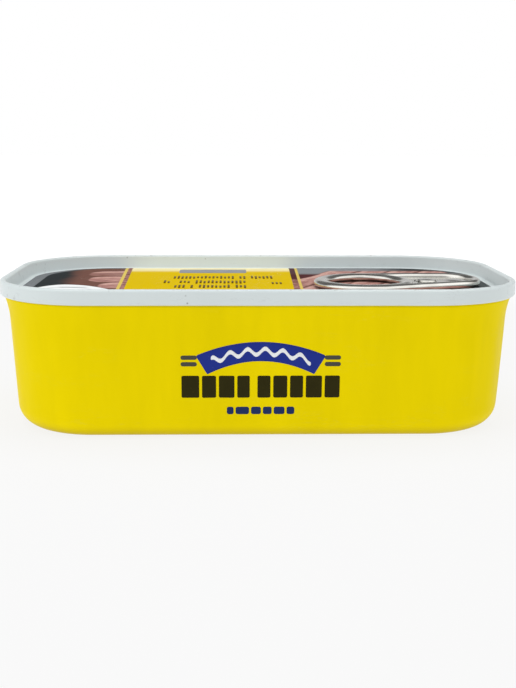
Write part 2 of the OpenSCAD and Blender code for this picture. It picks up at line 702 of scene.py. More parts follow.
class Effects:
    """Node groups that several finishes share, each built once.

    Noise lies about NOISE_MIDDLE. The fine noise of the mottle is FINE_RATIO times
    as dense as the broad one, and the patches of scratches PATCH_RATIO times as
    dense as the scratches.
    """

    FINE_RATIO = 7.0
    FINE_SHARE = 0.35
    PATCH_RATIO = 0.31
    PATCH_RISE: Span = (0.5, 0.68)
    RUB_SCALE = 0.9
    RUB_GAIN = 9.0

    def __init__(self) -> None:
        """Build the groups."""
        self.mottle = self._mottle()
        self.specks = self._specks()
        self.scratches = self._scratches()
        self.rub = self._rub()

    @staticmethod
    def _group(name: str, numbers: Sequence[str]) -> tuple[Graph, dict[str, Any], bpy.types.NodeSocket]:
        """Start a group with a place, some numbers and one number out.

        Args:
            name: The group's name.
            numbers: Names of its number inputs.

        Returns:
            The graph, its inputs by name, and the output to feed.
        """
        tree = bpy.data.node_groups.new(name, "ShaderNodeTree")
        tree.interface.new_socket("Place", in_out="INPUT", socket_type="NodeSocketVector")
        for number in numbers:
            tree.interface.new_socket(number, in_out="INPUT", socket_type="NodeSocketFloat")
        tree.interface.new_socket("Value", in_out="OUTPUT", socket_type="NodeSocketFloat")
        graph = Graph(tree)
        given = {s.name: s for s in graph.add("NodeGroupInput").outputs}
        return graph, given, graph.add("NodeGroupOutput").inputs["Value"]

    def _mottle(self) -> bpy.types.NodeTree:
        """Slow change of tone: 1 plus strength times two layers of noise about 0."""
        graph, given, out = self._group("tone_mottle", ("Scale", "Strength"))
        broad = graph.noise(given["Place"], given["Scale"], detail=3.0)
        fine_scale = graph.math("MULTIPLY", given["Scale"], self.FINE_RATIO)
        fine = graph.noise(given["Place"], fine_scale, detail=2.0)
        both = graph.math("ADD", broad, graph.math("MULTIPLY", fine, self.FINE_SHARE))
        centred = graph.math("SUBTRACT", both, NOISE_MIDDLE * (1.0 + self.FINE_SHARE))
        graph.feed(out, graph.math("MULTIPLY_ADD", centred, given["Strength"], 1.0))
        return graph.tree

    def _specks(self) -> bpy.types.NodeTree:
        """Small dots: cells of random points, of which noise keeps only a share."""
        graph, given, out = self._group("small_specks", ("Scale", "Size", "Share"))
        cells = graph.add("ShaderNodeTexVoronoi")
        graph.feed(cells.inputs["Vector"], given["Place"])
        graph.feed(cells.inputs["Scale"], given["Scale"])
        dot = graph.rise(cells.outputs["Distance"], given["Size"], 0.0)
        chance = graph.split(cells.outputs["Color"])[0]
        kept = graph.math("LESS_THAN", chance, given["Share"])
        graph.feed(out, graph.product(dot, kept))
        return graph.tree

    def _scratches(self) -> bpy.types.NodeTree:
        """Fine lines: where stretched noise crosses its middle, inside broad patches."""
        graph, given, out = self._group("fine_scratches", ("Scale", "Width"))
        level = graph.noise(given["Place"], given["Scale"], detail=4.0, roughness=0.6, bend=0.4)
        off = graph.math("ABSOLUTE", graph.math("SUBTRACT", level, NOISE_MIDDLE))
        thin = graph.rise(off, given["Width"], 0.0)
        patch_scale = graph.math("MULTIPLY", given["Scale"], self.PATCH_RATIO)
        broad = graph.noise(given["Place"], patch_scale, detail=1.0)
        patch = graph.rise(broad, *self.PATCH_RISE)
        graph.feed(out, graph.product(thin, patch))
        return graph.tree

    def _rub(self) -> bpy.types.NodeTree:
        """Wear near a level: falls off with distance from it, broken up by noise."""
        graph, given, out = self._group("level_rub", ("Level", "Reach", "Amount"))
        height = graph.split(given["Place"])[2]
        away = graph.math("ABSOLUTE", graph.math("SUBTRACT", height, given["Level"]))
        near = graph.rise(away, given["Reach"], 0.0)
        broken = graph.noise(given["Place"], self.RUB_SCALE, detail=5.0, roughness=0.7)
        keep = graph.math("SUBTRACT", graph.math("ADD", broken, given["Amount"]), 1.0)
        sharp = graph.math("MULTIPLY", keep, self.RUB_GAIN, clamp=True)
        graph.feed(out, graph.product(near, sharp))
        return graph.tree


@dataclass(frozen=True)
class Finish:
    """What every finish has: a name and a shader with plain constants."""

    name: str

    def start(self, specular: float, metallic: float = 0.0) -> tuple[Graph, bpy.types.Node]:
        """Make the material and its shader.

        Args:
            specular: Strength of the shader's reflections.
            metallic: Share of metal.

        Returns:
            The graph to add nodes to, and the shader node.
        """
        material = bpy.data.materials.new(self.name)
        material.use_nodes = True
        graph = Graph(material.node_tree)
        shader = material.node_tree.nodes["Principled BSDF"]
        shader.inputs["Specular IOR Level"].default_value = specular
        shader.inputs["Metallic"].default_value = metallic
        return graph, shader

    def made(self) -> bpy.types.Material:
        """The finished material, looked up by its name."""
        return bpy.data.materials[self.name]

    @staticmethod
    def mottled(
        graph: Graph, effects: Effects, colour: Any, place: Any, scale: float, strength: float
    ) -> bpy.types.NodeSocket:
        """Multiply a colour by the slow change of tone.

        Args:
            graph: The graph to add to.
            effects: The shared effects.
            colour: The colour.
            place: Where the change is read.
            scale: Features to a millimetre.
            strength: How strong it is.

        Returns:
            The colour's socket.
        """
        tone = graph.effect(effects.mottle, Place=place, Scale=scale, Strength=strength)[0]
        return graph.mixed(1.0, colour, tone, "MULTIPLY")


@dataclass(frozen=True)
class Lacquer(Finish):
    """Lacquer on sheet metal, with specks, scratches, scuffed ends, a rubbed level and painted shade
    towards the base.

    A scale is in features to a millimetre. A stretch multiplies a place before a
    pattern is read there, so the pattern runs long where its factor is small. A
    rise is the two values between which a share goes from 0 to 1.
    """

    colour: Colour
    scratch_colour: Colour
    speck_and_foot_shade_colour: Colour
    specular: float
    roughness: Span
    mottle: float
    speck_share: float
    speck_size: float
    rub_level: float
    rub_reach: float
    rub_amount: float
    metal_colour: Colour = linear(176, 176, 172)
    mottle_stretch: Stretch = (1.0, 1.0, 0.2)
    mottle_scale: float = 0.07
    scratch_stretch: Stretch = (0.3, 0.3, 1.4)
    scratch_scale: float = 0.5
    scratch_width: float = 0.01
    scratch_strength: float = 0.35
    speck_scale: float = 0.42
    speck_strength: float = 0.75
    rub_metal: float = 0.8
    scuff_start: float = 41.0
    scuff_reach: float = 10.0
    scuff_scale: float = 0.6
    scuff_rise: Span = (0.58, 0.68)
    scuff_share: float = 0.0
    # Painted shade: the height below which the colour darkens towards the base, and how strongly.
    foot_shade_level: float = 3.0
    foot_shade_share: float = 0.6
    cloud_scale: float = 0.12
    peel_scale: float = 1.6
    wear_depth: float = 0.6
    relief: float = 0.012

    def build(self, effects: Effects) -> bpy.types.Material:
        """Build the material.

        Args:
            effects: The shared effects.

        Returns:
            The material.
        """
        graph, shader = self.start(self.specular)
        place = graph.millimetres()
        drawn = graph.scaled(place, *self.mottle_stretch)
        colour = self.mottled(graph, effects, self.colour, drawn, self.mottle_scale, self.mottle)
        scratch = graph.effect(
            effects.scratches, Place=graph.scaled(place, *self.scratch_stretch),
            Scale=self.scratch_scale, Width=self.scratch_width,
        )[0]
        colour = graph.laid(colour, self.scratch_colour, scratch, self.scratch_strength)
        speck = graph.effect(
            effects.specks, Place=place, Scale=self.speck_scale, Size=self.speck_size,
            Share=self.speck_share,
        )[0]
        colour = graph.laid(colour, self.speck_and_foot_shade_colour, speck, self.speck_strength)
        rub = graph.effect(
            effects.rub, Place=place, Level=self.rub_level, Reach=self.rub_reach,
            Amount=self.rub_amount,
        )[0]
        colour = graph.laid(colour, self.metal_colour, rub)
        along, _, level = graph.split(place)
        off_middle = graph.math("ABSOLUTE", along)
        ends = graph.rise(off_middle, self.scuff_start, self.scuff_start + self.scuff_reach)
        smudge = graph.noise(place, self.scuff_scale, detail=6.0, roughness=0.75)
        smudge = graph.rise(smudge, *self.scuff_rise)
        colour = graph.laid(colour, self.scratch_colour, ends, smudge, self.scuff_share)
        # Painted shade: the colour is laid darker towards the base, standing in for the shade low on
        # the wall.
        foot = graph.rise(level, self.foot_shade_level, 0.0)
        colour = graph.laid(colour, self.speck_and_foot_shade_colour, foot, self.foot_shade_share)
        graph.feed(shader.inputs["Base Color"], colour)
        graph.feed(shader.inputs["Metallic"], graph.product(rub, self.rub_metal))
        cloud = graph.noise(place, self.cloud_scale, detail=4.0, roughness=0.6)
        graph.feed(shader.inputs["Roughness"], graph.spread(cloud, *self.roughness))
        peel = graph.noise(place, self.peel_scale, detail=2.0)
        worn = graph.product(graph.total(scratch, rub), self.wear_depth)
        height = graph.math("SUBTRACT", peel, worn)
        graph.feed(shader.inputs["Normal"], graph.bump(height, self.relief))
        return self.made()


@dataclass(frozen=True)
class RolledMetal(Finish):
    """Bright rolled sheet metal with faint rolling lines, scuffs and painted shade on its lower part
    near the panel.
    """

    # Painted shade: the height below which the tab is darkened, and how far up it fades.
    shade_level: float
    shade_reach: float = 0.5
    bright: Colour = linear(226, 225, 219)
    dull: Colour = linear(208, 206, 199)
    shade_colour: Colour = linear(84, 76, 68)
    specular: float = 0.5
    rolled_stretch: Stretch = (0.25, 1.2, 0.6)
    rolled_scale: float = 0.5
    rolled_rise: Span = (0.35, 0.8)
    scratch_stretch: Stretch = (0.5, 1.6, 1.0)
    scratch_scale: float = 0.4
    scratch_width: float = 0.006
    scratch_strength: float = 0.25
    scratch_depth: float = 0.3
    # Painted shade: size of its patches, its strength, and the roughness it adds.
    shade_patch_scale: float = 0.5
    shade_strength: float = 1.4
    shade_roughness: float = 0.3
    cloud_scale: float = 0.2
    roughness: Span = (0.14, 0.24)
    relief: float = 0.0007

    def build(self, effects: Effects) -> bpy.types.Material:
        """Build the material.

        Args:
            effects: The shared effects.

        Returns:
            The material.
        """
        graph, shader = self.start(self.specular, metallic=1.0)
        place = graph.millimetres()
        level = graph.split(place)[2]
        rolled = graph.noise(
            graph.scaled(place, *self.rolled_stretch), self.rolled_scale, detail=1.0
        )
        colour = graph.laid(self.bright, self.dull, graph.rise(rolled, *self.rolled_rise))
        scratch = graph.effect(
            effects.scratches, Place=graph.scaled(place, *self.scratch_stretch),
            Scale=self.scratch_scale, Width=self.scratch_width,
        )[0]
        colour = graph.laid(colour, self.dull, scratch, self.scratch_strength)
        # Painted shade: patchy darkening of the tab's lower part and the rivet's seat next to the
        # panel, where shade falls; the metal is also rougher there.
        near_panel = graph.rise(level, self.shade_level + self.shade_reach, self.shade_level)
        patches = graph.noise(place, self.shade_patch_scale, detail=2.0)
        painted_shade = graph.product(near_panel, patches, self.shade_strength)
        colour = graph.laid(colour, self.shade_colour, painted_shade)
        graph.feed(shader.inputs["Base Color"], colour)
        cloud = graph.noise(place, self.cloud_scale, detail=2.0)
        rough = graph.spread(cloud, *self.roughness)
        rough = graph.math("ADD", rough, graph.product(painted_shade, self.shade_roughness))
        graph.feed(shader.inputs["Roughness"], rough)
        height = graph.math("SUBTRACT", rolled, graph.product(scratch, self.scratch_depth))
        graph.feed(shader.inputs["Normal"], graph.bump(height, self.relief))
        return self.made()


@dataclass(frozen=True)
class Ink(Finish):
    """Printing ink on lacquer, slightly uneven."""

    colour: Colour
    worn: Colour
    specular: float = 0.06
    mottle_scale: float = 0.5
    mottle: float = 0.25
    pore_scale: float = 2.6
    pore_size: float = 0.3
    pore_share: float = 0.05
    pore_strength: float = 0.6
    cloud_scale: float = 0.7
    roughness: Span = (0.34, 0.54)
    relief: float = 0.006

    def build(self, effects: Effects) -> bpy.types.Material:
        """Build the material.

        Args:
            effects: The shared effects.

        Returns:
            The material.
        """
        graph, shader = self.start(self.specular)
        place = graph.millimetres()
        colour = self.mottled(graph, effects, self.colour, place, self.mottle_scale, self.mottle)
        pores = graph.effect(
            effects.specks, Place=place, Scale=self.pore_scale, Size=self.pore_size,
            Share=self.pore_share,
        )[0]
        colour = graph.laid(colour, self.worn, pores, self.pore_strength)
        graph.feed(shader.inputs["Base Color"], colour)
        cloud = graph.noise(place, self.cloud_scale, detail=3.0)
        graph.feed(shader.inputs["Roughness"], graph.spread(cloud, *self.roughness))
        graph.feed(shader.inputs["Normal"], graph.bump(cloud, self.relief))
        return self.made()


@dataclass(frozen=True)
class PrintedPanel(Finish):
    """The lid's printed picture: fish fillets, a dish and a yellow field across the middle, with a
    painted reflection that pales the back of the field.

    Places are in millimetres. A rise is the two values between which a share goes
    from 0 to 1, and limits are a lower value, an upper one and the softness of
    both edges.
    """

    yellow: Colour = linear(216, 184, 0)
    stripe: Colour = linear(216, 192, 96)
    # Colour of the painted reflection laid over the yellow field.
    pale: Colour = linear(242, 234, 190)
    ground: Colour = linear(46, 50, 52)
    umber: Colour = linear(112, 78, 68)
    maroon: Colour = linear(80, 40, 42)
    crease: Colour = linear(118, 74, 62)
    flesh: Colour = linear(172, 126, 118)
    pale_flesh: Colour = linear(206, 166, 154)
    dish: Colour = linear(240, 242, 242)
    dish_line: Colour = linear(138, 142, 146)
    border: Colour = linear(86, 92, 92)
    border_left: Colour = linear(132, 136, 139)
    specular: float = 0.001
    corner_x: float = 33.0
    corner_y: float = 10.5
    middle_rise: Span = (0.0, 0.1)
    flesh_stops: tuple[float, ...] = (0.0, 0.16, 0.34, 0.52, 0.66)
    flake_scale: float = 0.9
    flake_share: float = 0.7
    crest_rise: Span = (0.55, 0.92)
    crest_fall: Span = (1.0, 0.93)
    crest_share: float = 0.2
    valley_rise: Span = (0.7, 1.0)
    valley_share: float = 0.22
    fillet_width: float = 9.6
    fillet_left: float = -37.9
    fillet_front: float = -28.5
    fillet_sway: float = 3.0
    fillet_sway_scale: float = 0.08
    fillet_stretch: Stretch = (0.3, 0.5, 0.0)
    fillet_last_row: float = 4.0
    fillet_setback: float = 1.05
    fillet_rounding: float = 3.4
    fillet_end_rise: Span = (-0.25, 0.35)
    fillet_back_fall: Span = (19.9, 19.3)
    brown_rows: Span = (3.4, 3.6)
    brown_fall: Span = (0.9, 0.5)
    brown_share: float = 0.55
    slice_width: float = 6.4
    slice_start: float = 5.6
    slice_slant: Span = (0.88, -0.474)
    slice_turn: float = -1.08
    slice_sway: float = 2.0
    slice_sway_scale: float = 0.1
    slice_stretch: Stretch = (0.3, 0.8, 0.0)
    slice_count: float = 8.0
    slice_first_rise: Span = (-0.04, 0.04)
    slice_right_fall: Span = (45.5, 43.5)
    slice_back_fall: Span = (21.5, 18.5)
    dish_middle: float = -40.9
    dish_top: float = -3.0
    dish_fall: float = 0.072
    dish_left_fall: float = 0.11
    dish_rise: Span = (-0.1, 0.4)
    dish_rings: tuple[Limits, ...] = ((4.0, 4.5, 0.3), (8.4, 8.7, 0.1))
    dish_ring_share: float = 0.6
    leaf_along: Limits = (-0.4, 5.2, 0.8)
    leaf_across: Limits = (-7.7, -6.7, 0.3)
    leaf_share: float = 0.75
    umber_sway: float = 5.0
    umber_sway_scale: float = 0.14
    umber_rise: Span = (-43.5, -38.5)
    back_rise: Span = (12.5, 16.5)
    ground_rise: Span = (25.0, 38.0)
    border_start: float = 14.0
    border_soft: float = 0.15
    border_left_rise: Span = (-40.0, -44.0)
    border_share: float = 0.85
    field_left: float = -28.1
    field_right: float = 7.6
    field_soft: float = 0.06
    left_slant: float = 0.035
    right_slant: float = -0.0226
    edging_left: float = 0.95
    edging_right: float = 1.3
    edging_share: float = 0.9
    blotch_scale: float = 0.9
    blotch_rise: Span = (0.42, 0.6)
    shade_rise: Span = (3.0, 7.0)
    stripe_left: float = 1.65
    stripe_right: float = 1.9
    # Painted reflection: where the field pales towards its back and over the border, and how strongly.
    reflection_outward: Span = (6.5, 12.0)
    reflection_back: Span = (0.0, 5.0)
    reflection_share: float = 0.8
    reflection_border_share: float = 0.5
    mottle_scale: float = 0.06
    mottle: float = 0.08
    scratch_stretch: Stretch = (1.3, 0.4, 1.0)
    scratch_scale: float = 0.4
    scratch_width: float = 0.006
    scratch_strength: float = 0.3
    scratch_depth: float = 0.2
    cloud_scale: float = 0.09
    roughness: Span = (0.3, 0.46)
    wave_scale: float = 0.25
    relief: float = 0.02

    @staticmethod
    def _sway(graph: Graph, place: Any, scale: float, reach: float, straight: Any) -> Any:
        """Bend a straight place by noise about 0.

        Args:
            graph: The graph to add to.
            place: Where the noise is read.
            scale: Features to a millimetre.
            reach: How far the noise bends it.
            straight: The straight place.

        Returns:
            The bent place.
        """
        centred = graph.math("SUBTRACT", graph.noise(place, scale), NOISE_MIDDLE)
        return graph.math("MULTIPLY_ADD", centred, reach, straight)

    def _ridges(self, graph: Graph, place: Any, across: Any) -> tuple[Any, Any]:
        """Rows of flesh side by side: a rounded ridge for each, with flaky streaks along it.

        Args:
            graph: The graph to add to.
            place: Place in millimetres, stretched along the rows.
            across: Place across the rows, one unit to a row.

        Returns:
            The flesh's colour, and how far each point is from its row's middle.
        """
        part = graph.math("FRACT", across)
        off = graph.math("ABSOLUTE", graph.spread(part, -1.0, 1.0))
        flakes = graph.noise(place, self.flake_scale, detail=5.0, roughness=0.62)
        crest = graph.rise(part, *self.crest_rise)
        lit = graph.product(crest, graph.rise(part, *self.crest_fall), self.crest_share)
        tone = graph.math("MULTIPLY_ADD", flakes, self.flake_share, lit)
        valley = graph.product(graph.rise(off, *self.valley_rise), self.valley_share)
        colours = (self.crease, self.umber, self.flesh, self.pale_flesh, self.flesh)
        stops = tuple(zip(self.flesh_stops, colours))
        return graph.ramp(graph.math("SUBTRACT", tone, valley), stops), off

    def _fillets(self, graph: Graph, place: Any, x: Any, y: Any) -> tuple[Any, Any]:
        """Fillets left of the field: rows along X with round ends, set back one after another.

        Args:
            graph: The graph to add to.
            place: Place in millimetres.
            x: Its x part.
            y: Its y part.

        Returns:
            The colour and the mask that it covers.
        """
        bent = self._sway(graph, place, self.fillet_sway_scale, self.fillet_sway, y)
        from_front = graph.math("SUBTRACT", bent, self.fillet_front)
        across = graph.math("DIVIDE", from_front, self.fillet_width)
        colour, off = self._ridges(graph, graph.scaled(place, *self.fillet_stretch), across)
        row = graph.math("FLOOR", across)
        within = graph.math("FRACT", across)
        back = graph.math("SUBTRACT", self.fillet_last_row, row)
        setback = graph.product(back, back, self.fillet_setback)
        rounded = graph.product(off, off, off)
        end = graph.math("MULTIPLY_ADD", rounded, self.fillet_rounding, setback)
        start = graph.math("ADD", end, self.fillet_left)
        brown_row = graph.rise(row, *self.brown_rows)
        brown_side = graph.rise(within, *self.brown_fall)
        colour = graph.laid(colour, self.umber, brown_row, brown_side, self.brown_share)
        mask = graph.rise(graph.math("SUBTRACT", x, start), *self.fillet_end_rise)
        return colour, graph.product(mask, graph.rise(bent, *self.fillet_back_fall))

    def _slices(self, graph: Graph, place: Any, x: Any, y: Any) -> tuple[Any, Any]:
        """Slices right of the field, side by side along a slant.

        Args:
            graph: The graph to add to.
            place: Place in millimetres.
            x: Its x part.
            y: Its y part.

        Returns:
            The colour and the mask that it covers.
        """
        over_x, over_y = self.slice_slant
        slant = graph.math("ADD", graph.product(x, over_x), graph.product(y, over_y))
        slant = self._sway(graph, place, self.slice_sway_scale, self.slice_sway, slant)
        past = graph.math("SUBTRACT", slant, self.slice_start)
        across = graph.math("DIVIDE", past, self.slice_width)
        turned = graph.add("ShaderNodeVectorRotate", rotation_type="Z_AXIS")
        graph.feed(turned.inputs["Vector"], place)
        turned.inputs["Angle"].default_value = self.slice_turn
        stretched = graph.scaled(turned.outputs[0], *self.slice_stretch)
        backwards = graph.math("SUBTRACT", self.slice_count, across)
        colour, _ = self._ridges(graph, stretched, backwards)
        mask = graph.product(
            graph.rise(across, *self.slice_first_rise),
            graph.rise(x, *self.slice_right_fall),
            graph.rise(y, *self.slice_back_fall),
        )
        return colour, mask

    def _dish(self, graph: Graph, x: Any, y: Any) -> tuple[Any, Any]:
        """A white dish under the fillets: its edge falls as a square on either side of its top.

        Args:
            graph: The graph to add to.
            x: Place along X in millimetres.
            y: Place along Y in millimetres.

        Returns:
            The dish's colour and the mask that it covers.
        """
        off = graph.math("SUBTRACT", x, self.dish_middle)
        on_left = graph.math("LESS_THAN", off, 0.0)
        steep = graph.math("MULTIPLY_ADD", on_left, self.dish_left_fall, self.dish_fall)
        fallen = graph.math("MULTIPLY_ADD", graph.product(off, off), steep, y)
        inside = graph.math("SUBTRACT", self.dish_top, fallen)
        rings = graph.total(*(graph.between(inside, *limits) for limits in self.dish_rings))
        leaf = graph.product(
            graph.between(off, *self.leaf_along), graph.between(y, *self.leaf_across)
        )
        lines = graph.total(
            graph.product(rings, self.dish_ring_share), graph.product(leaf, self.leaf_share)
        )
        return graph.laid(self.dish, self.dish_line, lines), graph.rise(inside, *self.dish_rise)

    def _picture(self, graph: Graph, place: Any, x: Any, y: Any) -> Any:
        """The food picture, without the field: ground, fillets, slices and dish.

        Args:
            graph: The graph to add to.
            place: Place in millimetres.
            x: Its x part.
            y: Its y part.

        Returns:
            The colour.
        """
        cloud = graph.noise(place, self.umber_sway_scale, detail=3.0)
        centred = graph.math("SUBTRACT", cloud, NOISE_MIDDLE)
        warm = graph.math("MULTIPLY_ADD", centred, self.umber_sway, x)
        left_ground = graph.laid(self.ground, self.umber, graph.rise(warm, *self.umber_rise))
        right_ground = graph.laid(self.maroon, self.border_left, graph.rise(y, *self.back_rise))
        right_ground = graph.laid(right_ground, self.ground, graph.rise(x, *self.ground_rise))
        right = graph.rise(x, *self.middle_rise)
        left = graph.math("SUBTRACT", 1.0, right)
        picture = graph.laid(left_ground, right_ground, right)
        flesh, on_flesh = self._fillets(graph, place, x, y)
        picture = graph.laid(picture, flesh, on_flesh, left)
        flesh, on_flesh = self._slices(graph, place, x, y)
        picture = graph.laid(picture, flesh, on_flesh, right)
        dish, on_dish = self._dish(graph, x, y)
        return graph.laid(picture, dish, on_dish, left)

    def _radius(self, graph: Graph, x: Any, y: Any) -> Any:
        """Distance from the inner rectangle whose corners are the corner arcs' centres.

        Args:
            graph: The graph to add to.
            x: Place along X in millimetres.
            y: Place along Y in millimetres.

        Returns:
            The distance, 0 inside the rectangle.
        """
        squares = []
        for value, corner in ((x, self.corner_x), (y, self.corner_y)):
            past = graph.math("SUBTRACT", graph.math("ABSOLUTE", value), corner)
            past = graph.math("MAXIMUM", past, 0.0)
            squares.append(graph.product(past, past))
        return graph.math("SQRT", graph.math("ADD", *squares))

    def _edged(self, graph: Graph, place: Any, picture: Any, ends: tuple[Any, Any]) -> Any:
        """Lay the field's edging and its two stripes over the picture.

        Args:
            graph: The graph to add to.
            place: Place in millimetres.
            picture: The picture's colour.
            ends: Places along X that follow the field's left and right edge.

        Returns:
            The colour.
        """
        x, y, _ = graph.split(place)
        from_left, from_right = ends
        left, right, soft = self.field_left, self.field_right, self.field_soft
        inner_left, inner_right = left - self.edging_left, right + self.edging_right
        edging = graph.total(
            graph.between(from_left, inner_left, left, soft),
            graph.between(from_right, right, inner_right, soft),
        )
        blotch = graph.rise(graph.noise(place, self.blotch_scale, detail=2.0), *self.blotch_rise)
        tone = graph.laid(self.crease, self.flesh, blotch)
        at_right, at_back = graph.rise(x, *self.middle_rise), graph.rise(y, *self.shade_rise)
        tone = graph.laid(tone, self.maroon, at_right, at_back)
        picture = graph.laid(picture, tone, edging, self.edging_share)
        stripes = graph.total(
            graph.between(from_left, left - self.stripe_left, inner_left, soft),
            graph.between(from_right, inner_right, right + self.stripe_right, soft),
        )
        return graph.laid(picture, self.stripe, stripes)

    def build(self, effects: Effects) -> bpy.types.Material:
        """Build the material.

        Args:
            effects: The shared effects.

        Returns:
            The material.
        """
        graph, shader = self.start(self.specular)
        place = graph.millimetres()
        x, y, _ = graph.split(place)
        picture = self._picture(graph, place, x, y)
        radius = self._radius(graph, x, y)
        start, soft = self.border_start, self.border_soft
        on_border = graph.rise(radius, start - soft, start + soft)
        border = graph.laid(self.border, self.border_left, graph.rise(x, *self.border_left_rise))
        picture = graph.laid(picture, border, on_border, self.border_share)
        from_left = graph.math("MULTIPLY_ADD", y, self.left_slant, x)
        from_right = graph.math("MULTIPLY_ADD", y, self.right_slant, x)
        picture = self._edged(graph, place, picture, (from_left, from_right))
        # Painted reflection: the yellow field is laid paler towards its back and over the border,
        # standing in for the reflection of the pale inner wall.
        outward, back = graph.rise(radius, *self.reflection_outward), graph.rise(y, *self.reflection_back)
        painted_reflection = graph.total(
            graph.product(outward, back, self.reflection_share),
            graph.product(on_border, self.reflection_border_share),
        )
        left, right, soft = self.field_left, self.field_right, self.field_soft
        picture = graph.laid(
            picture,
            graph.laid(self.yellow, self.pale, painted_reflection),
            graph.rise(from_left, left - soft, left + soft),
            graph.rise(from_right, right + soft, right - soft),
        )
        picture = self.mottled(graph, effects, picture, place, self.mottle_scale, self.mottle)
        scratch = graph.effect(
            effects.scratches, Place=graph.scaled(place, *self.scratch_stretch),
            Scale=self.scratch_scale, Width=self.scratch_width,
        )[0]
        picture = graph.laid(picture, self.dish, scratch, self.scratch_strength)
        graph.feed(shader.inputs["Base Color"], picture)
        cloud = graph.noise(place, self.cloud_scale, detail=3.0)
        graph.feed(shader.inputs["Roughness"], graph.spread(cloud, *self.roughness))
        wave = graph.noise(place, self.wave_scale, detail=2.0)
        height = graph.math("SUBTRACT", wave, graph.product(scratch, self.scratch_depth))
        graph.feed(shader.inputs["Normal"], graph.bump(height, self.relief))
        return self.made()


@dataclass(frozen=True)
class Finishes:
    """All the finishes of the can."""

    body: Lacquer = Lacquer(
        name="yellow_lacquer_and_foot_shade",
        colour=linear(241, 217, 0),
        scratch_colour=linear(238, 222, 60),
        speck_and_foot_shade_colour=linear(170, 146, 10),
        specular=0.02,
        speck_share=0.025,
        speck_size=0.1,
        mottle=0.2,
        roughness=(0.32, 0.46),
        rub_level=0.0,
        rub_reach=0.5,
        rub_amount=0.52,
    )
    seam: Lacquer = Lacquer(
        name="pale_grey_lacquer",
        colour=linear(217, 226, 226),
        scratch_colour=linear(174, 178, 178),
        speck_and_foot_shade_colour=linear(96, 92, 84),
        specular=0.4,
        roughness=(0.24, 0.42),
        mottle=0.07,
        scuff_share=0.55,
        speck_share=0.16,
        speck_size=0.12,
        scratch_stretch=(0.25, 0.25, 1.8),
        scratch_strength=0.45,
        rub_level=30.0,
        rub_reach=0.35,
        rub_amount=0.42,
    )
    panel: PrintedPanel = PrintedPanel(name="printed_lid_and_reflection")
    tab: RolledMetal = RolledMetal(name="rolled_tab_metal_and_shade", shade_level=27.5)
    blue: Ink = Ink(name="blue_ink", colour=linear(36, 52, 140), worn=linear(90, 100, 150))
    white: Ink = Ink(name="white_ink", colour=linear(240, 242, 244), worn=linear(200, 205, 220))
    charcoal: Ink = Ink(name="charcoal_ink", colour=linear(46, 42, 12), worn=linear(96, 88, 20))
    navy: Ink = Ink(name="navy_ink", colour=linear(34, 50, 96), worn=linear(80, 86, 80))
    grey: Ink = Ink(name="grey_ink", colour=linear(76, 76, 68), worn=linear(120, 116, 60))
    slate: Ink = Ink(name="slate_ink", colour=linear(144, 148, 154), worn=linear(196, 198, 196))
    stamp: Ink = Ink(name="stamp_ink", colour=linear(102, 78, 8), worn=linear(150, 124, 10))


# ---------------------------------------------------------------- sub-assemblies


